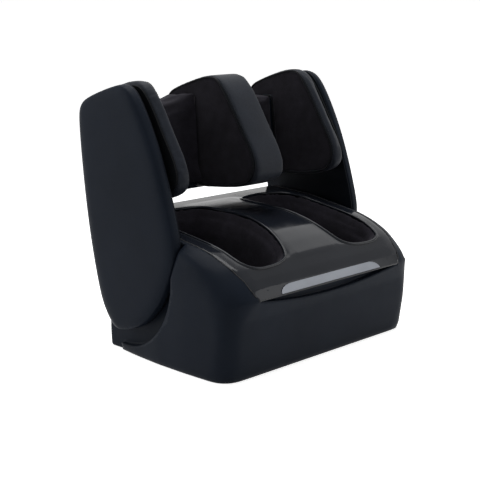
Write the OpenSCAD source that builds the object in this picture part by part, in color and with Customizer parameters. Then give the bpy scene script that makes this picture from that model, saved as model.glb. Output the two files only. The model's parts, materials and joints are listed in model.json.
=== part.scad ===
// Foot and calf massager: a base with two foot wells and a calf unit that tilts on it.
// X runs across the machine, Y from the toe side (front) to the user's side (rear), Z up.
// Depths below are measured from the front edge of the base at floor level; placed() moves
// everything to the centre of the overall box. Left is the side at -X.

/* [Overall] */
// Width over the two side covers
overall_w = 540; // [450:1:650]
// Depth of the base, front edge to rear wall
base_d = 346; // [288:1:416]
// Height of the deck at its rear edge
deck_h = 260; // [216:1:312]
// Height of the lip at the front of the deck
lip_h = 150; // [125:1:180]
// How far the lip overhangs the front edge
lip_out = 21; // [17:1:26]

/* [Base shells] */
// Wall of the base's mouldings
wall = 3; // [2:0.1:4]
// Gap between the floor and the edge of the lower shell
floor_gap = 2; // [2:0.5:4]
// Radius of the front corners at floor level
corner_r = 38; // [32:1:46]
// How far the flanks stand inside the side covers' outer faces
flank_in = 3; // [3:0.5:8]
// How far the inner body stands inside the side covers' inner faces
core_in = 6; // [5:0.5:10]
// Height of the finger scoop under the lip
scoop_h = 18; // [12:1:22]
// Length of the finger scoop
scoop_l = 396; // [330:1:400]
// Depth of the finger scoop
scoop_d = 16; // [12:1:20]
// Height of the ridge between the foot wells
ridge_up = 19; // [16:1:22]

/* [Foot wells] */
// Length of a foot well
well_l = 284; // [236:1:290]
// Width of a foot well
well_w = 150; // [125:1:156]
// Distance of the wells behind the front edge
well_front = 16; // [12:1:24]
// Height of the well floor above the ground
well_floor = 96; // [94:1:110]
// Wall of a well tub
tub_t = 2.5; // [2:0.1:3.5]
// Thickness of a foot airbag, lying flat
airbag_t = 8; // [5:0.5:10]
// Thickness of the fabric foot liner
liner_t = 4; // [3:0.5:6]

/* [Control strip] */
// Length of the strip along the lip
strip_l = 285; // [236:1:342]
// Height of the strip along the slope of the lip
strip_h = 16; // [13:0.5:18]
// Thickness of the strip
strip_t = 2; // [1.5:0.1:2.5]
// How far the strip stands proud of the lip
strip_proud = 0.6; // [0.2:0.1:1]

/* [Calf unit] */
// Height of the tilt axis
pivot_h = 165; // [155:1:198]
// Distance of the tilt axis in front of the base's rear wall
pivot_in = 58; // [48:1:70]
// Radius of the tilt pins
pivot_r = 10; // [8:0.5:12]
// Thickness of a side cover assembly
cover_t = 25; // [21:0.5:30]
// Depth of the side covers, front to rear
cover_d = 260; // [217:1:312]
// How far the side covers reach below the tilt axis
cover_down = 117; // [98:1:120]
// How far the side covers' top lies below the pads' top
cover_drop = 6; // [2:1:20]
// Clearance between a side cover and the edge of its recess
recess_gap = 4; // [3:0.5:8]
// Clearance below a side cover, in the recess
recess_drop = 32; // [26:1:34]
// Thickness of the steel side arms
arm_t = 4; // [3:0.5:5]

/* [Pads] */
// Height of the pads
pad_h = 223; // [186:1:268]
// Gap between the deck and the pads
pad_lift = 36; // [30:1:44]
// Width of the centre cushion, without its fabric faces
centre_w = 74; // [62:1:88]
// Thickness of a side pad without its fabric face
side_t = 29; // [24:1:35]
// Open gap between a side pad and its side cover
side_gap = 10; // [9:0.5:14]
// Thickness of the pads' boards
board_t = 4; // [3:0.5:5]
// How far the fabric faces stand proud of the cushions
face_crown = 5; // [3:0.5:7]
// Width of the leather border round a fabric face
border = 12; // [8:0.5:16]

/* [Rear housing] */
// Depth of the rear housing
housing_t = 58; // [56:1:68]
// Height of the rear housing
housing_h = 165; // [155:1:198]
// Lean of the rear housing
housing_lean = 6; // [2:0.5:8]

/* [Drives] */
// Radius of the roller shafts and the calf drive shaft
shaft_r = 5; // [4:0.25:6]
// Radius of the worm shafts
rod_r = 2.5; // [2:0.1:3]
// Running clearance of every shaft in its bore
run_gap = 0.05; // [0.02:0.01:0.1]
// Pitch of the worm threads
worm_pitch = 3.6; // [3:0.1:4]
// Teeth of the worm wheels
wheel_teeth = 24; // [20:1:26]
// Height of the roller shafts
roller_z = 70; // [68:1:72]
// Radius of the massage rollers over their lobes
roller_r = 25; // [21:0.5:25.5]
// Radius of the two drive motors
motor_r = 15; // [13:0.5:15]
// Throw of the eccentrics that swing the side pads
throw = 2; // [1:0.25:2.5]

/* [Hidden] */
$fn = 48;
eps = 0.02;
fit_gap = 0.2;

// overall places
half_w = overall_w / 2;
flank_w = half_w - flank_in;
cover_in = half_w - cover_t;
core_x = cover_in - core_in;
recess_x = core_x - 0.4;
pads_x = cover_in - side_gap;
pivot_y = base_d - pivot_in;
pad_z = deck_h + pad_lift;
cover_up = pad_z + pad_h - cover_drop - pivot_h;
deck_rise = deck_h - lip_h;
recess_r = cover_down + recess_drop;

// heights and gaps inside the base
tray_t = 3;
tray_z = floor_gap + 1;
tray_top = tray_z + tray_t;
scoop_z = lip_h - 2.4;

// the cover, pad and well outlines are drawn at these sizes and scaled to the ones above
cover_drawn_d = 260;
cover_drawn_up = 348;
cover_drawn_down = 117;
cover_drawn_rear = 103;
pad_drawn_h = 221;

cover_sy = cover_d / cover_drawn_d;
cover_rear = cover_drawn_rear * cover_sy;
mid_y = (pivot_y + cover_rear - lip_out) / 2;

// ---------- colours ----------
charcoal = [0.12, 0.13, 0.15];
gloss_black = [0.05, 0.055, 0.065];
cloth = [0.1, 0.085, 0.09];
leather = [0.16, 0.17, 0.2];
strip_grey = [0.64, 0.65, 0.69];
steel = [0.6, 0.61, 0.63];
zinc = [0.7, 0.71, 0.72];
brass = [0.78, 0.62, 0.3];
nylon = [0.85, 0.84, 0.8];
bag_blue = [0.25, 0.35, 0.5];
board_green = [0.08, 0.3, 0.16];
rubber = [0.06, 0.06, 0.06];

// ---------- general shapes ----------
// Moves a piece from the front edge of the base to the centre of the whole.
module placed() {
    translate([0, -mid_y, 0]) children();
}

// Makes a piece at +X, or its mirror image at -X.
module at_side(left) {
    if (left) mirror([1, 0, 0]) children();
    else children();
}

module both_sides() {
    for (left = [false, true]) at_side(left) children();
}

// Stands a shape drawn in the Y-Z plane upright between two X places.
module across(x0, x1) {
    translate([x0, 0, 0]) rotate([90, 0, 90]) linear_extrude(x1 - x0) children();
}

// A round bar along X.
module bar_x(r, x0, x1, y, z) {
    translate([x0, y, z]) rotate([0, 90, 0]) cylinder(r = r, h = x1 - x0);
}

// A round bar along Y.
module bar_y(r, y0, y1, x, z) {
    translate([x, y0, z]) rotate([-90, 0, 0]) cylinder(r = r, h = y1 - y0);
}

// A box given by its two corners.
module block(a, b) {
    translate(a) cube(b - a);
}

module rounded(w, h, r) {
    translate([r, r]) offset(r = r) square([w - 2 * r, h - 2 * r]);
}

function wrap(i, n) = (i + n) % n;

// A smooth closed curve through the given points.
function closed_curve(p, steps) = [
    for (i = [0 : len(p) - 1], k = [0 : steps - 1])
        let (n = len(p), t = k / steps,
             a = p[wrap(i - 1, n)], b = p[i], c = p[wrap(i + 1, n)], d = p[wrap(i + 2, n)])
            0.5 * (2 * b + (c - a) * t + (2 * a - 5 * b + 4 * c - d) * t * t
                + (3 * b - a - 3 * c + d) * t * t * t)
];

function unit(v) = v / norm(v);

// Moves a counter-clockwise loop inwards by d, each point along its own normal.
function inset(p, d) = [
    for (i = [0 : len(p) - 1])
        let (n = len(p), t = unit(p[wrap(i + 1, n)] - p[wrap(i - 1, n)]))
            p[i] + d * [-t.y, t.x]
];

// Draws a loop in towards a centre by d, measured at its half-sizes.
function drawn_in(p, centre, half, d) = [
    for (q = p) [
        centre.x + (q.x - centre.x) * (1 - d / half.x),
        centre.y + (q.y - centre.y) * (1 - d / half.y)
    ]
];

// Two triangles for each quad between neighbouring rings of n points.
function wall_faces(n, rings) = [
    for (k = [0 : rings - 2], i = [0 : n - 1])
        let (j = (i + 1) % n) each [
            [k * n + i, (k + 1) * n + j, k * n + j],
            [k * n + i, (k + 1) * n + i, (k + 1) * n + j]
        ]
];

// Fans of triangles that close the first and last rings.
function cap_faces(n, rings) = [
    for (i = [1 : n - 2]) each [
        [0, i, i + 1],
        [(rings - 1) * n, (rings - 1) * n + i + 1, (rings - 1) * n + i]
    ]
];

// A closed body through a list of rings that have the same number of points.
module ring_body(rings) {
    n = len(rings[0]);
    polyhedron(
        points = [for (ring = rings) each ring],
        faces = concat(wall_faces(n, len(rings)), cap_faces(n, len(rings)))
    );
}

// ---------- base form ----------
// Each slab: height, front edge, inward step of the sides, corner radius.
foot_slab = [floor_gap, 4, 4, corner_r - 4];
lower_slabs = [
    foot_slab,
    [floor_gap + 6, 0.5, 1, corner_r],
    [0.2 * lip_h, -2, 0, corner_r],
    [0.5 * lip_h, -0.25 * lip_out, 0, corner_r - 6],
    [0.75 * lip_h, -0.45 * lip_out, 0, corner_r],
    [lip_h, -lip_out, 0, corner_r + 20]
];

// The same above the lip: share of the deck's rise, share of the depth.
upper_slabs = [
    [0.155, -0.035, 0, corner_r + 26],
    [0.29, 0, 0.5, corner_r + 30],
    [0.464, 0.058, 2, corner_r + 30],
    [0.573, 0.13, 4.5, corner_r + 26],
    [0.673, 0.202, 9, corner_r + 20],
    [0.745, 0.29, 14.5, corner_r + 10],
    [0.79, 0.376, 20, corner_r],
    [0.89, 0.578, 22, 24],
    [0.945, 0.68, 22, 24],
    [0.992, 0.9, 24, 12],
    [1, 0.955, 23.3, 4]
];
base_slabs = concat(
    lower_slabs,
    [for (s = upper_slabs) [lip_h + s[0] * deck_rise, s[1] * base_d, s[2], s[3]]]
);

rear_r = 14;
side_points = 4;

// Half-width of the flanks at a depth: they bow gently and narrow to the rear.
function flank_x(y) = flank_w - pow(y - 0.3 * base_d, 2) / 2113;

function side_x(y, step) = max(core_x, min(flank_w, flank_x(y)) - step);

// The +X half of one slab's outline, seen from above and moved inwards by t.
function half_outline(front, step, r, t) =
    let (
        xf = side_x(0.3 * base_d, step) - t,
        rf = max(r - t, 3),
        yc = min(front + t + rf, base_d - t - 5),
        rr = min(max(rear_r - t, 3), 0.6 * (base_d - t - yc)),
        ye = base_d - t - rr
    )
    concat(
        [for (a = [0 : 15 : 90]) [xf - rf + rf * sin(a), front + t + rf - rf * cos(a) + yc - front - t - rf]],
        [for (k = [1 : side_points])
            let (y = yc + (ye - yc) * k / side_points) [side_x(y, step) - t, y]],
        [for (a = [30 : 30 : 90]) [side_x(ye, step) - t - rr + rr * cos(a), ye + rr * sin(a)]]
    );

function full_outline(half) = concat(half, [for (i = [len(half) - 1 : -1 : 0]) [-half[i].x, half[i].y]]);

function slab_ring(s, t) =
    let (z = s[0] - (s[0] > lip_h ? t : 0))
        [for (p = full_outline(half_outline(s[1], s[2], s[3], t))) [p.x, p.y, z]];

// The base's outer form, or a form that lies t inside it.
module base_form(t) {
    ring_body([for (s = base_slabs) slab_ring(s, t)]);
}

// Height of the deck's surface at a depth, along the wells.
deck_line = [for (s = base_slabs) if (s[0] >= lip_h) [s[1], s[0]]];
function deck_z(y) = lookup(y, deck_line);

// The parting line between deck and lower shell, in the front view: share of the core's
// half-width and height above the scoop.
seam_line = [
    [0.84, 0], [0.868, 9.5], [0.892, 22], [0.903, 34], [0.929, 48], [0.945, 61.5],
    [0.95, 74], [0.958, 82], [0.962, 87], [0.97, 2 * deck_h]
];
rear_seam_z = lip_h + 0.76 * deck_rise;

// The space that belongs to the deck.
module deck_zone() {
    difference() {
        translate([0, 2 * base_d, 0]) rotate([90, 0, 0]) linear_extrude(3 * base_d) polygon(concat(
            [for (s = seam_line) [s[0] * core_x, scoop_z + s[1]]],
            [for (i = [len(seam_line) - 1 : -1 : 0])
                [-seam_line[i][0] * core_x, scoop_z + seam_line[i][1]]]
        ));
        block([-overall_w, base_d - 20, -20], [overall_w, 2 * base_d, rear_seam_z]);
    }
}

// The rounded ridge between the wells: its height above the deck along the depth.
ridge_line = [
    [0.03, 0], [0.06, 0.17], [0.145, 0.5], [0.217, 0.7], [0.29, 0.86], [0.36, 0.97],
    [0.43, 1], [0.58, 0.7], [0.72, 0.39], [0.87, 0.17], [0.95, 0]
];
ridge_xs = [0, 0.25, 0.5, 0.62, 0.74, 0.87, 1];
ridge_half = 110;
ridge_sink = 1.5;
function ridge_share(x) =
    let (s = abs(x) / ridge_half)
        s > 1 ? 0 : s < 0.5 ? 1 - 0.3 * s * s : 0.925 * pow(cos(180 * (s - 0.5)), 2);
function ridge_lift(x, y) =
    ridge_up * lookup(y / base_d, ridge_line) * ridge_share(x) - ridge_sink;

// The ridge as a body on the deck, or the same lowered by t.
module ridge(t) {
    n = len(ridge_line);
    xs = concat([for (i = [len(ridge_xs) - 1 : -1 : 1]) -ridge_xs[i]], ridge_xs);
    ring_body([
        for (s = xs) let (x = s * ridge_half) concat(
            [for (r = ridge_line) let (y = r[0] * base_d) [x, y, deck_z(y) - 9 - t]],
            [for (i = [n - 1 : -1 : 0]) let (y = ridge_line[i][0] * base_d)
                [x, y, deck_z(y) + ridge_lift(x, y) - t]]
        )
    ]);
}

// Height of the deck at a place beside a well.
function rim_z(p) = deck_z(p.y) + max(ridge_lift(p.x, p.y), 0);

// ---------- side covers' outline ----------
// Points round a side cover, from its lowest point up the back and down the front,
// measured from the tilt axis at the drawn size.
cover_points = [
    [-9, -117], [17, -111], [47, -68], [69, 10], [86, 101], [98, 200], [103, 274], [99, 304],
    [77, 320], [20, 340], [-28, 348], [-64, 314], [-110, 225], [-146, 118], [-157, 55],
    [-141, 0], [-109, -55], [-62, -98]
];
cover_curve = [
    for (p = closed_curve(cover_points, 4)) [
        p.x * cover_sy,
        p.y * (p.y > 0 ? cover_up / cover_drawn_up : cover_down / cover_drawn_down)
    ]
];

module cover_outline(t) {
    translate([pivot_y, pivot_h]) polygon(inset(cover_curve, t));
}

// Wall between the base's hollow and the recesses.
flank_wall = wall + 0.6;

// The hollow beside the base in which a side cover hangs and swings, grown by t.
module recess(t) {
    across(recess_x - t, overall_w) {
        cover_outline(-recess_gap - t);
        translate([pivot_y, pivot_h]) circle(r = recess_r + t);
        translate([pivot_y + 12 - t, -50]) square([overall_w, 2 * deck_h]);
    }
}

// ---------- foot wells ----------
well_x = (centre_w / 2 + face_crown + pads_x - side_t - face_crown) / 2 + 5;
well_y = well_front + well_l / 2;
well_half = [well_w / 2, well_l / 2];
// Points round a well: share of the half-width, share of the length.
well_points = [
    [0.1, -0.005], [0.62, 0], [0.9, 0.05], [0.98, 0.2], [1, 0.42], [1.01, 0.68], [0.86, 0.93], [0, 1],
    [-0.86, 0.93], [-1.01, 0.68], [-0.98, 0.42], [-0.86, 0.2], [-0.68, 0.06], [-0.4, 0.01]
];
well_curve = [
    for (p = closed_curve(well_points, 3))
        [well_x + p.x * well_w / 2, well_front + p.y * well_l]
];

function well_loop(d) = drawn_in(well_curve, [well_x, well_y], well_half, d);

module well_column(d, z0, z1) {
    translate([0, 0, z0]) linear_extrude(z1 - z0) polygon(well_loop(d));
}

// ---------- base pieces ----------
foot_places = [
    for (s = [-1, 1]) each [[s * (core_x - 55), 40], [s * (core_x - 40), base_d - 32]]
];
foot_r = 13;

module base_tray() {
    color(charcoal) placed() translate([0, 0, tray_z]) linear_extrude(tray_t) difference() {
        polygon(full_outline(half_outline(foot_slab[1], foot_slab[2], foot_slab[3], wall + fit_gap)));
        for (s = [-1, 1])
            translate([s * (recess_x - flank_wall - fit_gap + 100), pivot_y + 12 - flank_wall - fit_gap + 150])
                square([200, 300], center = true);
        for (k = [-5 : 5]) translate([k * 12, base_d - 45]) square([5, 40], center = true);
    }
}

module rubber_feet() {
    color(rubber) placed()
        for (p = foot_places) translate([p.x, p.y, 0]) cylinder(r = foot_r, h = tray_z);
}

// The finger scoop: a shallow lens under the lip, deepest in the middle, grown by t.
scoop_arc = (scoop_l * scoop_l / 4 + scoop_h * scoop_h) / (2 * scoop_h);
module scoop(t) {
    translate([0, scoop_d - lip_out + t, scoop_z - scoop_h + scoop_arc]) rotate([90, 0, 0])
        intersection() {
            cylinder(r = scoop_arc + t, h = 60, $fn = 200);
            translate([-scoop_l / 2 - t, -scoop_arc - t - 1, -1])
                cube([scoop_l + 2 * t, scoop_h + t + 1, 62]);
        }
}

panel_w = 300;
panel_z = 30;
panel_h = 150;
panel_flange = 11;
screw_r = 1.8;
screw_places = [
    for (x = [-1, 0, 1], z = [0, 1]) [x * (panel_w / 2 - 12), panel_z - 6 + z * (panel_h + 12)]
];
hub_hole_r = pivot_r + 8;

module lower_shell() {
    color(charcoal) placed() difference() {
        base_form(0);
        difference() {
            translate([0, 0, -eps]) base_form(wall);
            both_sides() recess(flank_wall);
            scoop(wall);
        }
        deck_zone();
        both_sides() recess(0);
        scoop(0);
        bar_x(hub_hole_r, -overall_w, overall_w, pivot_y, pivot_h);
        block([-panel_w / 2, base_d - 20, panel_z], [panel_w / 2, base_d + 20, panel_z + panel_h]);
        for (p = screw_places) bar_y(screw_r, base_d - 20, base_d + 20, p.x, p.y);
    }
}

// ---------- deck ----------
strip_lean = atan2(0.155 * deck_rise, lip_out - 0.035 * base_d);
strip_end = 2 * strip_h;

// Outline of the control strip: straight below, rounded at its upper ends.
module strip_outline(t) {
    x0 = strip_l / 2 + t;
    h = strip_h + t;
    polygon(concat(
        [[-x0, -t], [x0, -t]],
        [for (a = [15 : 15 : 90]) [x0 - strip_end + strip_end * cos(a), h * sin(a)]],
        [for (a = [90 : -15 : 15]) [-x0 + strip_end - strip_end * cos(a), h * sin(a)]]
    ));
}

// Puts a drawing on the sloping front of the lip, with its Z standing out from the lip.
module on_lip(up, out) {
    translate([0, -lip_out, lip_h]) rotate([strip_lean, 0, 0]) translate([0, up, out]) children();
}

module top_deck() {
    color(gloss_black) placed() difference() {
        union() {
            intersection() {
                base_form(0);
                deck_zone();
            }
            ridge(0);
        }
        difference() {
            union() {
                translate([0, 0, -eps]) base_form(wall);
                ridge(wall);
            }
            both_sides() recess(flank_wall);
            block([-overall_w, -100, -50], [overall_w, scoop_d - lip_out + wall, scoop_z + wall]);
        }
        both_sides() {
            recess(0);
            well_column(0, -1, 2 * deck_h);
        }
        on_lip(1.2, strip_proud - strip_t) linear_extrude(20) strip_outline(fit_gap);
    }
}

module control_strip() {
    color(strip_grey) placed() on_lip(1.2, strip_proud - strip_t)
        linear_extrude(strip_t) strip_outline(0);
}

module control_board() {
    color(board_green) placed() on_lip(4, -1.6 * wall - 1.6) linear_extrude(1.6)
        translate([-0.4 * strip_l, 0]) square([0.8 * strip_l, 10]);
}

// ---------- wells ----------
slot_d = 28;
front_shaft_y = 0.26 * base_d;
rear_shaft_y = 0.58 * base_d;
roller_w = 22;
roller_off = 0.25 * well_w;
roller_xs = [for (s = [-1, 1]) each [s * (well_x - roller_off), s * (well_x + roller_off)]];

module well_tub(left) {
    color(charcoal) placed() difference() {
        intersection() {
            at_side(left) well_column(-tub_t, well_floor - tub_t, 2 * deck_h);
            union() {
                translate([0, 0, -eps]) base_form(wall + eps);
                ridge(wall + eps);
            }
        }
        at_side(left) {
            well_column(0, well_floor, 3 * deck_h);
            for (y = [front_shaft_y, rear_shaft_y], x = [well_x - roller_off, well_x + roller_off])
                translate([x, y, well_floor]) cube([roller_w + 4, slot_d, 20], center = true);
            bar_x(hose_r + 0.5, 0, well_x, hose_y, hose_z);
        }
    }
}

module left_well_tub() {
    well_tub(true);
}

module right_well_tub() {
    well_tub(false);
}

// Each liner ring: share of the height up the well, distance in from the well's edge.
bag_gap = airbag_t + 2;
liner_rings = [
    [0, bag_gap + 5], [0.05, bag_gap], [0.8, bag_gap], [0.92, 2.5], [0.98, 0.6], [1, 1.5],
    [0.99, 4], [0.9, bag_gap + 1], [0.72, bag_gap + 7], [0.4, bag_gap + 9], [0.12, bag_gap + 9],
    [liner_t / (deck_h - well_floor), bag_gap + 16]
];

module foot_liner(left) {
    color(cloth) placed() at_side(left) ring_body([
        for (s = liner_rings)
            [for (p = well_loop(s[1])) [p.x, p.y, well_floor + s[0] * (rim_z(p) - 0.5 - well_floor)]]
    ]);
}

module left_foot_liner() {
    foot_liner(true);
}

module right_foot_liner() {
    foot_liner(false);
}

// Two airbags in each well, between the tub and the liner.
module foot_airbags() {
    z0 = well_floor + 18;
    z1 = z0 + 0.45 * (lip_h - well_floor) + 34;
    color(bag_blue) placed() both_sides() intersection() {
        difference() {
            well_column(0.8, z0, z1);
            well_column(0.8 + airbag_t, z0 - 1, z1 + 1);
        }
        for (s = [-1, 1])
            translate([well_x + s * well_w / 2, (front_shaft_y + rear_shaft_y) / 2 + 12, z0])
                cube([well_w / 3, 0.45 * well_l, 400], center = true);
    }
}

// ---------- worms and wheels ----------
wheel_pr = wheel_teeth * worm_pitch / (2 * 180 / 57.29578);
tooth = 1;
worm_pr = 5.5;
mesh_gap = 0.35;
worm_off = wheel_pr + worm_pr + mesh_gap;
worm_l = 14;
wheel_w = 5;

// A worm wheel about its own axis; the valley between two teeth faces the angle given.
module worm_wheel(facing) {
    difference() {
        linear_extrude(wheel_w, center = true) polygon([
            for (i = [0 : 8 * wheel_teeth - 1])
                let (a = 360 * i / (8 * wheel_teeth), r = wheel_pr - tooth * cos(wheel_teeth * (a - facing)))
                    [r * cos(a), r * sin(a)]
        ]);
        cylinder(r = shaft_r, h = wheel_w + 2, center = true);
    }
}

// A worm along Z, centred, whose crest at mid-length faces -Y.
module worm() {
    turns = worm_l / worm_pitch;
    translate([0, 0, -worm_l / 2]) rotate([0, 0, -90 + 180 * turns])
        linear_extrude(worm_l, twist = 360 * turns, slices = round(9 * turns), $fn = 12)
            translate([tooth, 0]) circle(r = worm_pr, $fn = 12);
}

// ---------- foot drive ----------
worm_z = roller_z - worm_off;
bearing_x = core_x - wall - 14;
bearing_w = 8;
motor_l = 56;
motor_y = (front_shaft_y + rear_shaft_y) / 2;
rod_over = 16;
gear_plate_x = 11;
gear_plate_t = 4;

module roller_shaft(y) {
    color(steel) placed() bar_x(shaft_r, -bearing_x - bearing_w / 2, bearing_x + bearing_w / 2, y, roller_z);
}

module front_roller_shaft() {
    roller_shaft(front_shaft_y);
}

module rear_roller_shaft() {
    roller_shaft(rear_shaft_y);
}

// Five-lobed massage wheels, two under each foot.
module rollers(y) {
    lobe = 3;
    color(nylon) placed() for (x = roller_xs) translate([x, y, roller_z]) rotate([0, 90, 0])
        difference() {
            linear_extrude(roller_w, center = true) polygon([
                for (a = [0 : 6 : 354])
                    (roller_r - lobe + lobe * cos(5 * a)) * [cos(a), sin(a)]
            ]);
            cylinder(r = shaft_r, h = roller_w + 2, center = true);
        }
}

module front_rollers() {
    rollers(front_shaft_y);
}

module rear_rollers() {
    rollers(rear_shaft_y);
}

module foot_wheel(y) {
    color(nylon) placed() translate([0, y, roller_z]) rotate([90, 0, 90]) worm_wheel(-90);
}

module front_worm_wheel() {
    foot_wheel(front_shaft_y);
}

module rear_worm_wheel() {
    foot_wheel(rear_shaft_y);
}

// One motor shaft, with a worm at each end.
module foot_worms() {
    color(brass) placed() {
        for (y = [front_shaft_y, rear_shaft_y]) translate([0, y, worm_z]) rotate([-90, 0, 0]) worm();
        bar_y(rod_r, front_shaft_y - rod_over, rear_shaft_y + rod_over, 0, worm_z);
    }
}

module foot_motor() {
    color(steel) placed() difference() {
        union() {
            bar_y(motor_r, motor_y - motor_l / 2, motor_y + motor_l / 2, 0, worm_z);
            for (s = [-1, 1]) bar_y(6, motor_y - 2 + s * (motor_l / 2 + 1), motor_y + 2 + s * (motor_l / 2 + 1), 0, worm_z);
            block([-12, motor_y - 20, tray_top], [12, motor_y + 20, worm_z - motor_r + 2]);
        }
        bar_y(rod_r + run_gap, motor_y - 60, motor_y + 60, 0, worm_z);
    }
}

// Two frames, each of two side plates and an end plate that carries the worm shaft.
module foot_gearbox() {
    top = roller_z + shaft_r + 7;
    color(zinc) placed() for (end = [[front_shaft_y, -1], [rear_shaft_y, 1]]) difference() {
        union() {
            for (s = [-1, 1])
                translate([s * (gear_plate_x + gear_plate_t / 2), end[0], (tray_top + top) / 2])
                    cube([gear_plate_t, 36, top - tray_top], center = true);
            translate([0, end[0] + end[1] * (worm_l / 2 + 6), (tray_top + worm_z + 8) / 2])
                cube([2 * gear_plate_x + eps, 4, worm_z + 8 - tray_top], center = true);
        }
        bar_x(shaft_r + run_gap, -40, 40, end[0], roller_z);
        bar_y(rod_r + run_gap, end[0] - 60, end[0] + 60, 0, worm_z);
    }
}

module roller_bearings() {
    color(zinc) placed() for (y = [front_shaft_y, rear_shaft_y], s = [-1, 1]) difference() {
        translate([s * bearing_x, y, 0]) union() {
            translate([-bearing_w / 2, -14, tray_top]) cube([bearing_w, 28, roller_z - tray_top]);
            bar_x(shaft_r + 5, -bearing_w / 2, bearing_w / 2, 0, roller_z);
        }
        bar_x(shaft_r + run_gap, -overall_w, overall_w, y, roller_z);
    }
}

// ---------- air and electrics ----------
hose_r = 3;
hose_x = 26;
hose_y = rear_shaft_y + 12;
hose_z = 0.85 * lip_h;
pump_y = 10;
pump_size = [64, 40, 52];
valve_size = [76, 24, 40];
supply_size = [130, 70, 42];
tail_y = base_d - 100;

module air_pump() {
    color(charcoal) placed() union() {
        translate([-pump_size.x / 2, pump_y, tray_top]) cube(pump_size);
        translate([0, pump_y + pump_size.y / 2, tray_top + pump_size.z]) cylinder(r = 14, h = 18);
        for (s = [-1, 1]) bar_y(hose_r + 1, pump_y + pump_size.y - 1, pump_y + pump_size.y + 6, s * hose_x, tray_top + 12);
    }
}

module valve_block() {
    color(nylon) placed() union() {
        translate([-valve_size.x / 2, tail_y, tray_top]) cube(valve_size);
        for (k = [-2 : 2])
            translate([k * 14, tail_y + valve_size.y / 2, tray_top + valve_size.z]) cylinder(r = 5, h = 10);
    }
}

// Two supply hoses from pump to valves, and one riser to each foot's inner airbag.
module air_hoses() {
    x1 = well_x - 0.505 * well_w + 0.6;
    z0 = tray_top + 12;
    color(rubber) placed() both_sides() {
        bar_y(hose_r, pump_y + pump_size.y + 6, tail_y, hose_x, z0);
        translate([hose_x, hose_y, z0 + 20]) cylinder(r = hose_r, h = hose_z - z0 - 20);
        translate([hose_x, hose_y, hose_z]) sphere(r = hose_r);
        bar_x(hose_r, hose_x, x1, hose_y, hose_z);
        translate([hose_x, hose_y, z0 + 20]) sphere(r = hose_r);
        bar_y(hose_r, hose_y, tail_y, hose_x, z0 + 20);
    }
}

module power_supply() {
    color(steel) placed() difference() {
        translate([-supply_size.x - 60, tail_y, tray_top]) cube(supply_size);
        for (k = [0 : 8])
            translate([-supply_size.x - 50 + 12 * k, tail_y - 1, tray_top + supply_size.z - 1.5])
                cube([4, supply_size.y + 2, 2]);
    }
}

module main_board() {
    color(board_green) placed() translate([60, tail_y, tray_top]) {
        for (x = [6, 124], y = [6, 64]) translate([x, y, 0]) cylinder(r = 3, h = 8);
        translate([0, 0, 8]) cube([130, 70, 1.6]);
        translate([14, 12, 9.6]) cube([26, 34, 16]);
        for (k = [0 : 3]) translate([60 + 16 * k, 20, 9.6]) cylinder(r = 6, h = 20);
        translate([58, 44, 9.6]) cube([56, 12, 8]);
    }
}

// The vented panel that closes the base's rear wall.
inlet_x = 96;
inlet_z = 62;
inlet_w = 31;
inlet_hh = 24;
switch_x = 52;
switch_w = 14;
switch_hh = 22;

module rear_panel() {
    color(charcoal) placed() difference() {
        union() {
            block(
                [-panel_w / 2 + fit_gap, base_d - wall, panel_z + fit_gap],
                [panel_w / 2 - fit_gap, base_d, panel_z + panel_h - fit_gap]
            );
            block(
                [-panel_w / 2 - 3, base_d - wall - 2, panel_z - panel_flange],
                [panel_w / 2 + 3, base_d - wall, panel_z + panel_h + panel_flange]
            );
        }
        for (p = screw_places) bar_y(screw_r, base_d - 20, base_d, p.x, p.y);
        for (k = [0 : 9])
            translate([-110, base_d - 20, panel_z + 40 + 9 * k]) cube([110, 40, 4]);
        translate([inlet_x, base_d, inlet_z]) cube([inlet_w, 40, inlet_hh], center = true);
        translate([switch_x, base_d, inlet_z]) cube([switch_w, 40, switch_hh], center = true);
    }
}

module panel_screws() {
    color(zinc) placed() for (p = screw_places) {
        bar_y(screw_r, base_d - wall - 6, base_d + 1, p.x, p.y);
        bar_y(3.4, base_d, base_d + 1.2, p.x, p.y);
    }
}

// Three-pole appliance inlet, let into the rear panel.
module mains_inlet() {
    flange = 4;
    depth = 22;
    color(rubber) placed() translate([inlet_x, base_d, inlet_z]) union() {
        difference() {
            union() {
                translate([0, 1, 0]) cube([inlet_w + 2 * flange, 2, inlet_hh + 2 * flange], center = true);
                translate([0, -depth / 2, 0])
                    cube([inlet_w - 2 * fit_gap, depth + 1, inlet_hh - 2 * fit_gap], center = true);
            }
            translate([0, -depth / 2 + 3, 0]) cube([inlet_w - 6, depth, inlet_hh - 6], center = true);
        }
        for (p = [[-7, -2], [0, 3], [7, -2]])
            translate([p.x, -depth / 2, p.y]) cube([2, depth - 4, 4], center = true);
    }
}

rocker_turn = 8;
rocker_pin = 1.5;
module switch_body() {
    color(rubber) placed() translate([switch_x, base_d, inlet_z]) difference() {
        union() {
            translate([0, 0.75, 0]) cube([switch_w + 4, 1.5, switch_hh + 4], center = true);
            translate([0, -9, 0]) cube([switch_w - 2 * fit_gap, 18.5, switch_hh - 2 * fit_gap], center = true);
        }
        translate([0, -2, 0]) cube([switch_w - 4, 20, switch_hh - 3], center = true);
        bar_x(rocker_pin + run_gap, -switch_w / 2 + 1, switch_w / 2 - 1, -4, 0);
    }
}

// The rocker turns about an X axis just inside the panel, and rests tilted to "off".
module switch_rocker() {
    color(gloss_black) placed() translate([switch_x, base_d - 4, inlet_z]) rotate([rocker_turn, 0, 0])
        union() {
            across(-(switch_w - 5) / 2, (switch_w - 5) / 2) polygon([
                [-4, -6], [4.5, -8.4], [3.4, 0], [4.5, 8.4], [-4, 6]
            ]);
            bar_x(rocker_pin, -switch_w / 2 + 1.2, switch_w / 2 - 1.2, 0, 0);
        }
}

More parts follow.
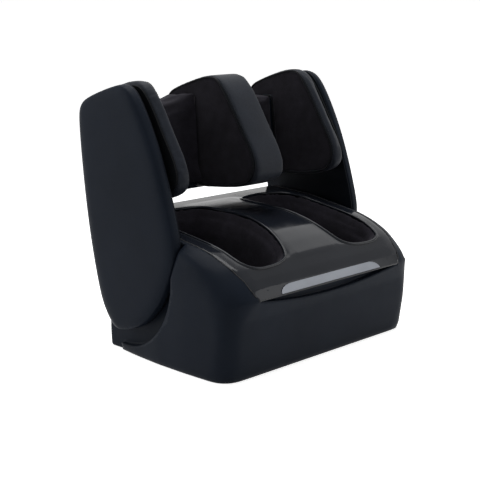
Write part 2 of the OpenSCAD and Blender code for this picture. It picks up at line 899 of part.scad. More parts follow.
// ---------- tilt pivots ----------
bracket_x = core_x - wall - 8;
bracket_t = 4;
bracket_w = 90;

module pivot_brackets() {
    color(steel) placed() both_sides() difference() {
        union() {
            across(bracket_x - bracket_t, bracket_x) polygon([
                [pivot_y - bracket_w / 2, tray_top],
                [pivot_y + bracket_w / 2, tray_top],
                [pivot_y + pivot_r + 6, pivot_h],
                [pivot_y - pivot_r - 6, pivot_h]
            ]);
            bar_x(pivot_r + 6, bracket_x - bracket_t - 3, bracket_x + 5, pivot_y, pivot_h);
            block(
                [bracket_x - 24, pivot_y - bracket_w / 2, tray_top],
                [bracket_x, pivot_y + bracket_w / 2, tray_top + 3]
            );
        }
        bar_x(pivot_r + run_gap, bracket_x - 60, bracket_x + 60, pivot_y, pivot_h);
    }
}

arm_x = cover_in + 5;

module pivot_pins() {
    color(zinc) placed() both_sides() union() {
        bar_x(pivot_r, bracket_x - bracket_t - 6, arm_x, pivot_y, pivot_h);
        bar_x(pivot_r + 3, bracket_x - bracket_t - 8, bracket_x - bracket_t - 3.3, pivot_y, pivot_h);
        bar_x(pivot_r + 3, bracket_x + 5.3, cover_in - fit_gap, pivot_y, pivot_h);
    }
}

// ---------- side covers ----------
inner_t = 3.5;

cover_centre = [-27 * cover_sy, (cover_up - cover_down) / 2];
cover_half = [130 * cover_sy, (cover_up + cover_down) / 2];
crown_in = 10;

// The cover's outline drawn in by t: along its edge at first, and towards its centre on the crown.
function cover_loop(t) =
    t < crown_in ? inset(cover_curve, t) : drawn_in(cover_curve, cover_centre, cover_half, t);
function cover_ring(x, t) = [for (p = cover_loop(t)) [x, pivot_y + p.x, pivot_h + p.y]];

module side_cover(left) {
    x0 = cover_in + inner_t;
    color(charcoal) placed() at_side(left) difference() {
        ring_body([
            cover_ring(x0, 0), cover_ring(half_w - 11, 0), cover_ring(half_w - 5.5, 2),
            cover_ring(half_w - 2, 7), cover_ring(half_w - 0.4, 20), cover_ring(half_w, 40)
        ]);
        ring_body([
            cover_ring(x0 - 1, wall), cover_ring(half_w - 11, wall), cover_ring(half_w - 7, 8),
            cover_ring(half_w - wall - 0.5, 20)
        ]);
    }
}

module left_side_cover() {
    side_cover(true);
}

module right_side_cover() {
    side_cover(false);
}

module inner_cover(left) {
    color(charcoal) placed() at_side(left) difference() {
        across(cover_in, cover_in + inner_t) cover_outline(1.5);
        bar_x(pivot_r + fit_gap, 0, overall_w, pivot_y, pivot_h);
        in_housing() for (v = beam_vs)
            translate([0, beam_u, v])
                cube([2 * overall_w, beam + 2 * fit_gap, beam + 2 * fit_gap], center = true);
    }
}

module left_inner_cover() {
    inner_cover(true);
}

module right_inner_cover() {
    inner_cover(false);
}

// ---------- rear housing ----------
housing_y = pivot_y + cover_rear - housing_t - 21;
housing_z = pad_z - 6;
housing_x = cover_in - 0.5;
beam = 16;
beam_u = 4 + beam / 2;
beam_vs = [16, housing_h - 14];
drive_u = 20;
drive_v = 0.535 * housing_h;

// The housing's own frame: Y runs from its front face to the rear, Z up its lean.
module in_housing() {
    translate([0, housing_y, housing_z]) rotate([-housing_lean, 0, 0]) children();
}

module housing_shell(u0, u1) {
    intersection() {
        difference() {
            across(-housing_x, housing_x) rounded(housing_t, housing_h, 8);
            across(-housing_x + wall, housing_x - wall)
                translate([wall, wall]) rounded(housing_t - 2 * wall, housing_h - 2 * wall, 5);
            for (v = beam_vs) translate([0, beam_u, v])
                cube([2 * overall_w, beam + 2 * fit_gap, beam + 2 * fit_gap], center = true);
        }
        block([-overall_w, u0, -1], [overall_w, u1, housing_h + 1]);
    }
}

module housing_front() {
    color(charcoal) placed() in_housing() difference() {
        housing_shell(-1, 0.5 * housing_t);
        for (s = [-1, 1]) translate([s * hinge_x, 0, drive_v]) cube([16, 20, tongue_h + 6], center = true);
    }
}

module housing_back() {
    color(charcoal) placed() in_housing() difference() {
        housing_shell(0.5 * housing_t, housing_t + 1);
        for (k = [0 : 11], s = [-1, 1])
            translate([s * 70 - 22 + 4 * (k - 5.5) - s * 20, housing_t - 10, 0.2 * housing_h])
                translate([22 + s * 22, 0, 0]) cube([2, 20, 0.2 * housing_h]);
    }
}

// Welded frame: two side arms from the tilt pins upwards, and two hollow beams between them.
module calf_frame() {
    lean = housing_h * sin(housing_lean);
    root = [housing_y - pivot_y, housing_z - pivot_h];
    color(steel) placed() union() {
        both_sides() across(arm_x, arm_x + arm_t) translate([pivot_y, pivot_h]) {
            circle(r = pivot_r + 10);
            polygon([
                [-pivot_r - 8, 0], [pivot_r + 8, 0],
                root + [34, 6], root + [34 + lean, housing_h - 2],
                root + [2 + lean, housing_h - 2], root + [0, 6]
            ]);
        }
        in_housing() for (v = beam_vs) translate([0, beam_u, v]) difference() {
            cube([2 * arm_x + eps, beam, beam], center = true);
            cube([2 * arm_x + 2, beam - 4, beam - 4], center = true);
        }
    }
}

// ---------- pads ----------
// Points round a pad, from its lower front edge along the bottom, up the back and down the front,
// measured from the tilt axis and the pads' bottom at the drawn size.
pad_points = [
    [-92, 10], [-40, 3], [10, 0], [45, 8], [80, 60], [97, 120], [104, 158], [100, 178],
    [80, 192], [28, 210], [-14, 220], [-44, 215], [-72, 184], [-104, 131], [-134, 81],
    [-143, 46], [-130, 24]
];
pad_curve = [
    for (p = closed_curve(pad_points, 3)) [p.x * cover_sy, p.y * pad_h / pad_drawn_h]
];
pad_centre = [-20 * cover_sy, 110 * pad_h / pad_drawn_h];
pad_half = [122 * cover_sy, 110 * pad_h / pad_drawn_h];
centre_reach = 1.06;

// A pad's outline drawn in by d, its front stretched by a factor.
function pad_loop(d, reach) = [
    for (p = drawn_in(pad_curve, pad_centre, pad_half, d))
        [pivot_y + p.x * (p.x < 0 ? reach : 1), pad_z + p.y]
];
function pad_ring(x, d, reach) = [for (p = pad_loop(d, reach)) [x, p.x, p.y]];

module pad_plate(x0, x1, d, reach) {
    across(x0, x1) polygon(pad_loop(d, reach));
}

// The space that the rear housing takes from the pads, with a gap round it.
module housing_space(gap) {
    in_housing() block([-overall_w, -gap, -200], [overall_w, 300, housing_h + gap]);
}

// A cushion between two X places, with rounded and slightly drawn-in sides.
module cushion(x0, x1, reach) {
    ring_body([
        for (s = [[x0, 6], [x0 + 1.5, 2.5], [x0 + 5, 0.6], [(x0 + x1) / 2, 0],
            [x1 - 5, 0.6], [x1 - 1.5, 2.5], [x1, 6]]) pad_ring(s[0], s[1], reach)
    ]);
}

// A fabric face that swells out from x along +X.
module fabric_face(x, reach) {
    difference() {
        ring_body([
            for (s = [[0, 0], [0.35, 1], [0.7, 7], [0.93, 22], [1, 45]])
                pad_ring(x + s[0] * face_crown, border + s[1], reach)
        ]);
        housing_space(6);
    }
}

centre_x = centre_w / 2;
bag_in = border + 22;
pad_gap = 2;
side_x0 = pads_x - side_t;
side_x1 = pads_x - board_t;

module centre_cushion() {
    color(leather) placed() difference() {
        cushion(-centre_x, centre_x, centre_reach);
        housing_space(fit_gap);
        pad_plate(-board_t / 2 - fit_gap, board_t / 2 + fit_gap, border + 6 - fit_gap, 1);
        both_sides() pad_plate(centre_x - airbag_t, centre_x + 5, bag_in, 1);
    }
}

module centre_board() {
    color(charcoal) placed() difference() {
        pad_plate(-board_t / 2, board_t / 2, border + 6, 1);
        housing_space(0);
    }
}

module centre_airbags() {
    color(bag_blue) placed() both_sides() difference() {
        pad_plate(centre_x - airbag_t + fit_gap, centre_x - fit_gap, bag_in + 1, 1);
        housing_space(6);
    }
}

module centre_left_face() {
    color(cloth) placed() at_side(true) fabric_face(centre_x, centre_reach);
}

module centre_right_face() {
    color(cloth) placed() fabric_face(centre_x, centre_reach);
}

module side_cushion(left) {
    color(leather) placed() at_side(left) difference() {
        cushion(side_x0, side_x1, 1);
        housing_space(pad_gap);
    }
}

module left_cushion() {
    side_cushion(true);
}

module right_cushion() {
    side_cushion(false);
}

module side_face(left) {
    color(cloth) placed() at_side(left) translate([2 * side_x0, 0, 0]) mirror([1, 0, 0])
        fabric_face(side_x0, 1);
}

module left_face() {
    side_face(true);
}

module right_face() {
    side_face(false);
}

// ---------- calf drive ----------
hinge_x = pads_x - board_t / 2;
hinge_r = 4;
barrel_r = 7.5;
tongue_h = 20;
tongue_l = 46;
eccentric_x = hinge_x - 48;
eccentric_r = 8;
eccentric_w = 8;
ring_r = eccentric_r + throw + 2.6;
lug_v = 16;
lug_h = 8;

module pad_board(left) {
    color(charcoal) placed() at_side(left) difference() {
        pad_plate(side_x1, pads_x, border - 4, 1);
        housing_space(pad_gap);
        in_housing() block(
            [0, -tongue_l - fit_gap, drive_v - tongue_h / 2 - fit_gap],
            [overall_w, 10, drive_v + tongue_h / 2 + fit_gap]
        );
    }
}

module left_pad_board() {
    pad_board(true);
}

module right_pad_board() {
    pad_board(false);
}

// Cast arm: a tongue in the pad's board, a hinge barrel, and a ring round the eccentric.
module pad_arm(left) {
    color(zinc) placed() at_side(left) in_housing() difference() {
        union() {
            block(
                [side_x1 + fit_gap / 2, -tongue_l, drive_v - tongue_h / 2],
                [pads_x - fit_gap / 2, drive_u, drive_v + tongue_h / 2]
            );
            translate([hinge_x, drive_u, drive_v - tongue_h / 2]) cylinder(r = barrel_r, h = tongue_h);
            block(
                [eccentric_x + 7, drive_u - 4, drive_v - 7],
                [hinge_x - hinge_r - 1, drive_u + 4, drive_v + 7]
            );
            bar_x(ring_r + 2, eccentric_x - 4, eccentric_x + 10, drive_u, drive_v);
        }
        bar_x(ring_r, eccentric_x - 20, eccentric_x + 7, drive_u, drive_v);
        translate([hinge_x, drive_u, drive_v - 30]) cylinder(r = hinge_r + run_gap, h = 60);
    }
}

module left_pad_arm() {
    pad_arm(true);
}

module right_pad_arm() {
    pad_arm(false);
}

// Shaft across the housing with an eccentric at each end.
module calf_drive_shaft() {
    color(steel) placed() in_housing() union() {
        bar_x(shaft_r, -eccentric_x - 4, eccentric_x + 4, drive_u, drive_v);
        for (s = [-1, 1])
            bar_x(eccentric_r, s * eccentric_x - eccentric_w / 2, s * eccentric_x + eccentric_w / 2,
                drive_u, drive_v - throw);
    }
}

module calf_worm_wheel() {
    color(nylon) placed() in_housing() translate([0, drive_u, drive_v]) rotate([90, 0, 90]) worm_wheel(0);
}

motor_v = drive_v + 20;
calf_worm_u = drive_u + worm_off;

module calf_worm() {
    color(brass) placed() in_housing() {
        translate([0, calf_worm_u, drive_v]) worm();
        translate([0, calf_worm_u, drive_v - 20]) cylinder(r = rod_r, h = 43);
    }
}

module calf_motor() {
    color(steel) placed() in_housing() difference() {
        union() {
            translate([0, calf_worm_u, motor_v]) cylinder(r = motor_r, h = motor_l - wall - 4);
            translate([0, calf_worm_u, motor_v - 3]) cylinder(r = 6, h = 4);
        }
        translate([0, calf_worm_u, drive_v - 40]) cylinder(r = rod_r + run_gap, h = 64);
    }
}

// Frame of two side plates and a foot that carries the worm's lower end.
module calf_gearbox() {
    u0 = wall;
    u1 = calf_worm_u + rod_r + 6;
    color(zinc) placed() in_housing() difference() {
        union() {
            for (s = [-1, 1])
                translate([s * (gear_plate_x + gear_plate_t / 2) - gear_plate_t / 2, u0, drive_v - 20])
                    cube([gear_plate_t, u1 - u0, 36]);
            block([-gear_plate_x - eps, u0 + 22, drive_v - 20], [gear_plate_x + eps, u1, drive_v - 16]);
        }
        bar_x(shaft_r + run_gap, -40, 40, drive_u, drive_v);
        translate([0, calf_worm_u, drive_v - 40]) cylinder(r = rod_r + run_gap, h = 60);
    }
}

// Brackets inside the housing: a bearing for the drive shaft and two lugs for the pad's hinge pin.
module calf_brackets() {
    wall_x = eccentric_x - 19;
    color(zinc) placed() in_housing() both_sides() difference() {
        union() {
            block([wall_x, wall, drive_v - 14], [wall_x + 8, drive_u + 10, drive_v + 14]);
            block([wall_x, wall, drive_v - 34], [wall_x + 14, wall + 3, drive_v + 34]);
            for (v = [drive_v - lug_v - lug_h, drive_v + lug_v])
                block([wall_x, wall, v], [hinge_x + 7, wall + 3, v + lug_h]);
            for (v = [drive_v - lug_v - lug_h, drive_v + lug_v])
                block([hinge_x - 9, wall, v], [hinge_x + 7, drive_u + 8, v + lug_h]);
        }
        bar_x(shaft_r + run_gap, -overall_w, overall_w, drive_u, drive_v);
        translate([hinge_x, drive_u, drive_v - 60]) cylinder(r = hinge_r, h = 120);
    }
}

module hinge_pins() {
    color(steel) placed() in_housing() both_sides()
        translate([hinge_x, drive_u, drive_v - lug_v - lug_h - 2]) cylinder(r = hinge_r, h = 2 * (lug_v + lug_h) + 4);
}

base_tray();
lower_shell();
top_deck();
control_strip();
control_board();
left_well_tub();
right_well_tub();
left_foot_liner();
right_foot_liner();
foot_airbags();
front_roller_shaft();
rear_roller_shaft();
front_rollers();
rear_rollers();
front_worm_wheel();
rear_worm_wheel();
foot_worms();
foot_motor();
foot_gearbox();
roller_bearings();
air_pump();
valve_block();
air_hoses();
power_supply();
main_board();
rear_panel();
mains_inlet();
switch_body();
switch_rocker();
pivot_brackets();
rubber_feet();
panel_screws();
left_side_cover();
right_side_cover();
left_inner_cover();
right_inner_cover();
calf_frame();
pivot_pins();
hinge_pins();
housing_front();
housing_back();
centre_cushion();
centre_board();
centre_left_face();
centre_right_face();
centre_airbags();
calf_motor();
calf_worm();
calf_worm_wheel();
calf_drive_shaft();
calf_gearbox();
calf_brackets();
left_pad_arm();
right_pad_arm();
left_pad_board();
right_pad_board();
left_cushion();
right_cushion();
left_face();
right_face();
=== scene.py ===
"""Looks of a leg massager: glossy deck with two cloth-lined foot wells, satin shell and side covers,
and padded calf cushions on a tilting frame."""

import json
import math

import bmesh
import bpy
from mathutils import Matrix, Vector, noise
from mathutils.bvhtree import BVHTree
from mathutils.kdtree import KDTree


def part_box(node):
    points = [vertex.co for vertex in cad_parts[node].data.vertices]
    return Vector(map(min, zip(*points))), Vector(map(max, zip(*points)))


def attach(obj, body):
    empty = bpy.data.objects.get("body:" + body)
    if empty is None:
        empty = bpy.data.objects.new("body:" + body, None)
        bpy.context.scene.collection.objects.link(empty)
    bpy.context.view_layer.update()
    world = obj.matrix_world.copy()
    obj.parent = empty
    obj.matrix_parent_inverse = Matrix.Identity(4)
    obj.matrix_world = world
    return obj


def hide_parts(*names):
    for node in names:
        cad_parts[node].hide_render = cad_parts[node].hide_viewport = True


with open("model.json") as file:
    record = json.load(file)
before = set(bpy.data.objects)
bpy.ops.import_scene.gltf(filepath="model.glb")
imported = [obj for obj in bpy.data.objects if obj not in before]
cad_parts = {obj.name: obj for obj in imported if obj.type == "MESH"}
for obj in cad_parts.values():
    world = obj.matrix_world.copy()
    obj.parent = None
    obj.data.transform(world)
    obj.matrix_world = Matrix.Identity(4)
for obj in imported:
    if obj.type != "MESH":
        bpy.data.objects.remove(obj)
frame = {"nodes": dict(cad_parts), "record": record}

nodes = frame["nodes"]
scene = bpy.context.scene
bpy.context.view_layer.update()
MM = 0.001

# ---------- finishes ----------


class Finish:
    """One finish under construction: its shader nodes, and the place on the object that they read."""

    def __init__(self, name, **sockets):
        self.material = bpy.data.materials.new(name)
        self.material.use_nodes = True
        self.tree = self.material.node_tree
        self.shader = self.tree.nodes["Principled BSDF"]
        self.place = self.tree.nodes.new("ShaderNodeTexCoord").outputs["Object"]
        for key, value in sockets.items():
            self.shader.inputs[key.replace("_", " ").title().replace("Ior", "IOR")].default_value = value

    def feed(self, socket, value):
        """Links a socket to another node's output, or sets the socket's own value."""
        if isinstance(value, bpy.types.NodeSocket):
            self.tree.links.new(value, socket)
        else:
            socket.default_value = value

    def node(self, kind, **inputs):
        """A new node; each keyword is one of its properties or one of its sockets."""
        made = self.tree.nodes.new("ShaderNode" + kind)
        for key, value in inputs.items():
            if hasattr(made, key):
                setattr(made, key, value)
            else:
                self.feed(made.inputs[key], value)
        return made

    def noise(self, scale, detail=2.0, roughness=0.5, place=None):
        return self.node(
            "TexNoise", Vector=place or self.place, Scale=scale, Detail=detail, Roughness=roughness
        ).outputs[0]

    def cells(self, scale, feature="F1", randomness=1.0, place=None):
        return self.node(
            "TexVoronoi", Vector=place or self.place, feature=feature, Scale=scale, Randomness=randomness
        ).outputs["Distance"]

    def stretched(self, x, y, z):
        return self.node("Mapping", Vector=self.place, Scale=(x, y, z)).outputs[0]

    def spread(self, value, low, high, to_low=0.0, to_high=1.0):
        made = self.node("MapRange", Value=value)
        for name, number in (("From Min", low), ("From Max", high), ("To Min", to_low), ("To Max", to_high)):
            made.inputs[name].default_value = number
        return made.outputs[0]

    def sum(self, a, b, operation="ADD"):
        made = self.node("Math", operation=operation)
        for socket, value in zip(made.inputs, (a, b)):
            self.feed(socket, value)
        return made.outputs[0]

    def colours(self, value, *stops):
        """Colours the surface by a value; each stop is (place on the ramp, colour)."""
        ramp = self.node("ValToRGB", Fac=value)
        ramp.color_ramp.elements[0].position = stops[0][0]
        ramp.color_ramp.elements[1].position = stops[-1][0]
        ramp.color_ramp.elements[0].color = (*stops[0][1], 1)
        ramp.color_ramp.elements[1].color = (*stops[-1][1], 1)
        for place, colour in stops[1:-1]:
            ramp.color_ramp.elements.new(place).color = (*colour, 1)
        self.tree.links.new(ramp.outputs["Color"], self.shader.inputs["Base Color"])

    def rough(self, value):
        self.tree.links.new(value, self.shader.inputs["Roughness"])

    def bump(self, *layers):
        """Layers are (height, strength, depth in millimetres), coarsest first."""
        normal = None
        for height, strength, depth in layers:
            made = self.node("Bump", Height=height, Strength=strength, Distance=depth * MM)
            if normal is not None:
                self.tree.links.new(normal, made.inputs["Normal"])
            normal = made.outputs[0]
        self.tree.links.new(normal, self.shader.inputs["Normal"])


def shade(colour, factor):
    return tuple(c * factor for c in colour)


def moulded_plastic(name, colour, roughness, grain=0.12, grain_scale=1800, wear=1.18):
    """Injection-moulded plastic with a fine spark-eroded grain and faint handling marks."""
    f = Finish(name, specular_ior_level=0.035)
    f.colours(f.noise(9, 3), (0.25, shade(colour, 0.86)), (0.55, colour), (0.8, shade(colour, wear)))
    scuffs = f.noise(38, 5, 0.6)
    fine = f.noise(700, 2)
    f.rough(
        f.sum(
            f.spread(scuffs, 0.35, 0.75, roughness - 0.03, roughness + 0.05),
            f.spread(fine, 0.3, 0.7, -0.02, 0.03),
        )
    )
    f.bump((f.noise(14, 2), 0.06, 0.4), (f.cells(grain_scale, "SMOOTH_F1"), grain, 0.06))
    return f.material


def polished_plastic(name, colour):
    """High-gloss black plastic with the faint waviness of a moulding and hairline polishing marks."""
    f = Finish(name, specular_ior_level=0.14, coat_weight=0.03, coat_roughness=0.03)
    f.colours(f.noise(7, 3), (0.3, shade(colour, 0.85)), (0.75, shade(colour, 1.2)))
    hairlines = f.noise(240, 3, 0.8, f.stretched(1, 0.05, 0.3))
    smears = f.noise(18, 4, 0.6)
    f.rough(
        f.sum(
            f.spread(hairlines, 0.45, 0.8, 0.11, 0.16),
            f.spread(smears, 0.45, 0.75, 0.0, 0.09),
        )
    )
    f.bump((f.noise(26, 1), 0.05, 0.25))
    return f.material


def napped(name):
    """The matt ground of a knitted cloth, with the faint bloom of its nap."""
    f = Finish(name, sheen_weight=0.1, sheen_roughness=0.45, specular_ior_level=0.1, roughness=0.92)
    f.shader.inputs["Sheen Tint"].default_value = (0.62, 0.6, 0.66, 1)
    return f


def cloth_tones(f, tone, colour):
    f.colours(tone, (0.1, shade(colour, 0.45)), (0.45, colour), (0.85, shade(colour, 1.75)))


def knitted(name, colour):
    """Fine warp-knitted cloth for upright faces: ribs beside each other along Y, loops along Z."""
    f = napped(name)
    axes = f.node("SeparateXYZ", Vector=f.place).outputs
    rib_pitch = 0.95 * MM
    loops_per_rib = 1.35
    step = 2 * math.pi / rib_pitch
    rib = f.sum(f.sum(axes["Y"], step, "MULTIPLY"), 0.0, "SINE")
    loop = f.sum(f.sum(axes["Z"], step * loops_per_rib, "MULTIPLY"), 0.0, "SINE")
    weave = f.sum(rib, loop, "MULTIPLY")
    yarn = f.noise(2600, 2)
    slub = f.noise(45, 4, 0.6)
    cloth_tones(f, f.sum(f.spread(weave, -1, 1, 0.2, 0.62), f.spread(slub, 0.3, 0.7, -0.16, 0.22)), colour)
    f.bump((slub, 0.12, 0.5), (weave, 0.45, 0.16), (yarn, 0.2, 0.06))
    return f.material


def spacer_cloth(name, colour):
    """Soft knitted cloth seen in the round, with a cell pattern that holds in every direction."""
    f = napped(name)
    cell = f.cells(1050, "F1", 0.8)
    slub = f.noise(40, 4, 0.6)
    cloth_tones(f, f.sum(f.spread(cell, 0.0, 0.7, 0.68, 0.15), f.spread(slub, 0.3, 0.7, -0.14, 0.2)), colour)
    f.bump((slub, 0.12, 0.6), (f.spread(cell, 0, 0.8, 1, 0), 0.4, 0.2), (f.noise(2600, 2), 0.2, 0.06))
    return f.material


def grained_leather(name, colour):
    """Synthetic leather: embossed pebble grain, a slight sheen, and softer, lighter crowns."""
    f = Finish(name, specular_ior_level=0.07, sheen_weight=0.02, sheen_roughness=0.5)
    pebble = f.cells(720, "SMOOTH_F1", 1.0, f.stretched(1, 1.15, 0.9))
    creases = f.cells(560, "DISTANCE_TO_EDGE")
    cloud = f.noise(16, 4, 0.6)
    tone = f.sum(f.spread(pebble, 0.1, 0.7, 0.62, 0.3), f.spread(cloud, 0.3, 0.7, -0.14, 0.16))
    f.colours(tone, (0.12, shade(colour, 0.62)), (0.48, colour), (0.85, shade(colour, 1.4)))
    f.rough(f.sum(f.spread(pebble, 0.1, 0.7, 0.38, 0.52), f.spread(cloud, 0.3, 0.7, -0.05, 0.05)))
    f.bump(
        (f.noise(22, 3), 0.12, 0.8),
        (f.spread(pebble, 0, 0.8, 1, 0), 0.3, 0.16),
        (f.spread(creases, 0, 0.12, 0, 1), 0.25, 0.08),
    )
    return f.material


def bare_metal(name, colour, roughness, stretch=(1, 1, 1), scale=220):
    """Worked metal with drawing or turning marks along one direction and small stains."""
    f = Finish(name, metallic=1.0)
    lines = f.noise(scale, 4, 0.65, f.stretched(*stretch))
    stains = f.noise(30, 5, 0.6)
    f.colours(stains, (0.3, shade(colour, 0.78)), (0.6, colour), (0.85, shade(colour, 1.08)))
    drawn = f.spread(lines, 0.3, 0.7, roughness - 0.08, roughness + 0.1)
    f.rough(f.sum(drawn, f.spread(stains, 0.3, 0.8, 0, 0.06)))
    f.bump((lines, 0.12, 0.05))
    return f.material


def powder_coat(name, colour):
    """Powder-coated steel with its orange-peel surface."""
    f = Finish(name, specular_ior_level=0.5)
    f.colours(f.noise(25, 3), (0.3, shade(colour, 0.85)), (0.7, shade(colour, 1.2)))
    f.rough(f.spread(f.noise(300, 2), 0.3, 0.7, 0.38, 0.5))
    f.bump((f.noise(520, 2), 0.25, 0.12))
    return f.material


def soft_rubber(name, colour):
    """Matt rubber, dusty in places."""
    f = Finish(name, specular_ior_level=0.35)
    f.colours(f.noise(60, 4, 0.7), (0.3, shade(colour, 0.8)), (0.75, shade(colour, 1.5)))
    f.rough(f.spread(f.noise(400, 3), 0.3, 0.7, 0.66, 0.86))
    f.bump((f.noise(900, 2), 0.2, 0.08))
    return f.material


def circuit_board(name):
    """Green solder mask over copper tracks, with tinned pads."""
    f = Finish(name, specular_ior_level=0.5, coat_weight=0.2, coat_roughness=0.2)
    tracks = f.cells(330, "F1", 0.25)
    pads = f.cells(210, "F1", 0.0)
    tone = f.sum(f.spread(tracks, 0.28, 0.34, 0.25, 0.5), f.spread(pads, 0.1, 0.13, 0.5, 0.0))
    f.colours(
        tone,
        (0.2, (0.006, 0.06, 0.022)),
        (0.5, (0.012, 0.11, 0.04)),
        (0.72, (0.02, 0.16, 0.06)),
        (0.9, (0.62, 0.6, 0.52)),
    )
    f.rough(f.spread(tracks, 0.2, 0.5, 0.25, 0.42))
    f.bump((f.spread(tracks, 0.28, 0.34), 0.2, 0.05))
    return f.material


def welded_film(name, colour):
    """Airbag film with fine calender marks and soft creases, coloured darker in their hollows and lighter on
    their crests as painted shade and highlight.
    """
    f = Finish(name, specular_ior_level=0.5, sheen_weight=0.1)
    folds = f.noise(38, 4, 0.6)
    # painted shade in the hollows of the folds and painted highlight on their crests
    f.colours(folds, (0.3, shade(colour, 0.75)), (0.75, shade(colour, 1.25)))
    f.rough(f.spread(f.noise(200, 2), 0.3, 0.7, 0.4, 0.55))
    f.bump((folds, 0.3, 1.2), (f.noise(1500, 1), 0.1, 0.04))
    return f.material


CHARCOAL = (0.0088, 0.0118, 0.0182)
GLOSS_BLACK = (0.0085, 0.0102, 0.0145)
CLOTH = (0.0094, 0.0086, 0.0118)
LEATHER = (0.0155, 0.0182, 0.0245)

shell_plastic = moulded_plastic("satin_charcoal_plastic", CHARCOAL, 0.42)
deck_plastic = polished_plastic("piano_black_plastic", GLOSS_BLACK)
inner_plastic = moulded_plastic("black_inner_plastic", (0.0042, 0.0048, 0.0058), 0.5, 0.3, 1200)
liner_plastic = moulded_plastic("satin_black_inner_cover", (0.0062, 0.0078, 0.011), 0.46, 0.2, 1500)
strip_plastic = moulded_plastic("light_grey_touch_strip", (0.36, 0.38, 0.42), 0.32, 0.03, 2500, 1.04)
nylon = moulded_plastic("natural_nylon", (0.62, 0.6, 0.54), 0.44, 0.05, 900, 1.05)
face_cloth = knitted("knitted_face_cloth", CLOTH)
liner_cloth = spacer_cloth("foot_liner_cloth", shade(CLOTH, 1.5))
leather = grained_leather("grained_synthetic_leather", LEATHER)
# The piping's leather is made far darker than the pads' own: painted shade, standing for the shadow in the
# groove of each seam.
piping_leather_painted_shade = grained_leather("seam_piping_leather_painted_shade", shade(LEATHER, 0.22))
thread = soft_rubber("waxed_thread", (0.012, 0.013, 0.016))
steel = bare_metal("drawn_steel", (0.56, 0.57, 0.59), 0.3, (0.06, 1, 1))
plated = bare_metal("zinc_plated_sheet", (0.62, 0.63, 0.62), 0.34, (1, 0.2, 0.2), 90)
die_cast = bare_metal("die_cast_zinc", (0.5, 0.51, 0.52), 0.5, (1, 1, 1), 420)
hobbed_brass = bare_metal("hobbed_brass", (0.72, 0.52, 0.22), 0.26, (1, 1, 0.2), 400)
frame_coat = powder_coat("black_powder_coat", (0.02, 0.02, 0.022))
rubber = soft_rubber("matt_black_rubber", (0.014, 0.014, 0.015))
hose_rubber = soft_rubber("grey_hose_rubber", (0.05, 0.05, 0.052))
board_mask = circuit_board("green_circuit_board")
bag_film = welded_film("blue_airbag_film", (0.09, 0.15, 0.27))

node_finishes = {
    shell_plastic: ["lower_shell", "left_side_cover", "right_side_cover", "housing_back", "housing_front"],
    deck_plastic: ["top_deck", "switch_rocker"],
    strip_plastic: ["control_strip"],
    inner_plastic: [
        "base_tray", "left_well_tub", "right_well_tub", "air_pump", "rear_panel",
        "centre_board", "left_pad_board", "right_pad_board",
    ],
    liner_plastic: ["left_inner_cover", "right_inner_cover"],
    nylon: [
        "front_rollers", "rear_rollers", "front_worm_wheel", "rear_worm_wheel",
        "valve_block", "calf_worm_wheel",
    ],
    steel: [
        "front_roller_shaft", "rear_roller_shaft", "foot_motor", "calf_motor", "pivot_pins", "hinge_pins",
        "panel_screws", "calf_drive_shaft",
    ],
    plated: ["power_supply", "pivot_brackets"],
    die_cast: [
        "foot_gearbox", "roller_bearings", "calf_gearbox", "calf_brackets", "left_pad_arm", "right_pad_arm",
    ],
    hobbed_brass: ["foot_worms", "calf_worm"],
    frame_coat: ["calf_frame"],
    rubber: ["rubber_feet", "mains_inlet", "switch_body"],
    hose_rubber: ["air_hoses"],
    board_mask: ["control_board", "main_board"],
    bag_film: ["foot_airbags", "centre_airbags"],
    leather: ["centre_cushion", "left_cushion", "right_cushion"],
    face_cloth: ["centre_left_face", "centre_right_face", "left_face", "right_face"],
    liner_cloth: ["left_foot_liner", "right_foot_liner"],
}
for material, names in node_finishes.items():
    for name in names:
        mesh = nodes[name].data
        mesh.materials.clear()
        mesh.materials.append(material)

# ---------- mesh helpers ----------

CREASE = math.radians(33)  # an edge that folds more than this stays sharp in a rounded skin
CORNER = math.radians(25)  # a crease that turns more than this keeps its corner
FLAT = math.radians(4)
WELD = 0.02 * MM

body_of_node = {n: b for b, ns in frame["record"]["behaviour"]["bodies"].items() for n in ns}


def placed(name, data):
    """A new object with this data, linked to the scene."""
    made = bpy.data.objects.new(name, data)
    scene.collection.objects.link(made)
    return made


def mesh_of(bm, name):
    mesh = bpy.data.meshes.new(name)
    bm.to_mesh(mesh)
    return mesh


def piece_from(bm, name, material, node, replaces=True):
    """Makes a finished piece of a bmesh, which rides where a CAD node rides."""
    piece = placed(name, mesh_of(bm, name))
    bm.free()
    piece.data.materials.append(material)
    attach(piece, body_of_node[node])
    if replaces:
        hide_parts(node)
    return piece


def welded_copy(node):
    """A copy of a CAD node's mesh with its loose triangles joined and its flat areas merged."""
    bm = bmesh.new()
    bm.from_mesh(nodes[node].data)
    bmesh.ops.remove_doubles(bm, verts=bm.verts, dist=WELD)
    bmesh.ops.dissolve_degenerate(bm, edges=bm.edges, dist=WELD)
    bmesh.ops.dissolve_limit(bm, angle_limit=math.radians(0.4), verts=bm.verts, edges=bm.edges)
    return bm


def is_crease(edge, angle):
    """True for an open edge, or one whose faces meet at more than an angle."""
    return len(edge.link_faces) != 2 or edge.calc_face_angle(0) > angle


def relax(bm, verts):
    bmesh.ops.smooth_vert(bm, verts=verts, factor=0.5, use_axis_x=True, use_axis_y=True, use_axis_z=True)


def refine(bm, longest, rounds=9):
    """Halves a mesh's edges until none is longer than a length, and evens the triangles of its flat areas."""
    bmesh.ops.triangulate(bm, faces=bm.faces)
    for _ in range(rounds):
        bm.edges.ensure_lookup_table()
        split = [e for e in bm.edges if e.calc_length() > longest]
        if not split:
            break
        bmesh.ops.subdivide_edges(bm, edges=split, cuts=1)
        bmesh.ops.triangulate(bm, faces=[f for f in bm.faces if len(f.verts) > 3])
        bmesh.ops.beautify_fill(
            bm, faces=bm.faces, edges=[e for e in bm.edges if not is_crease(e, FLAT)]
        )


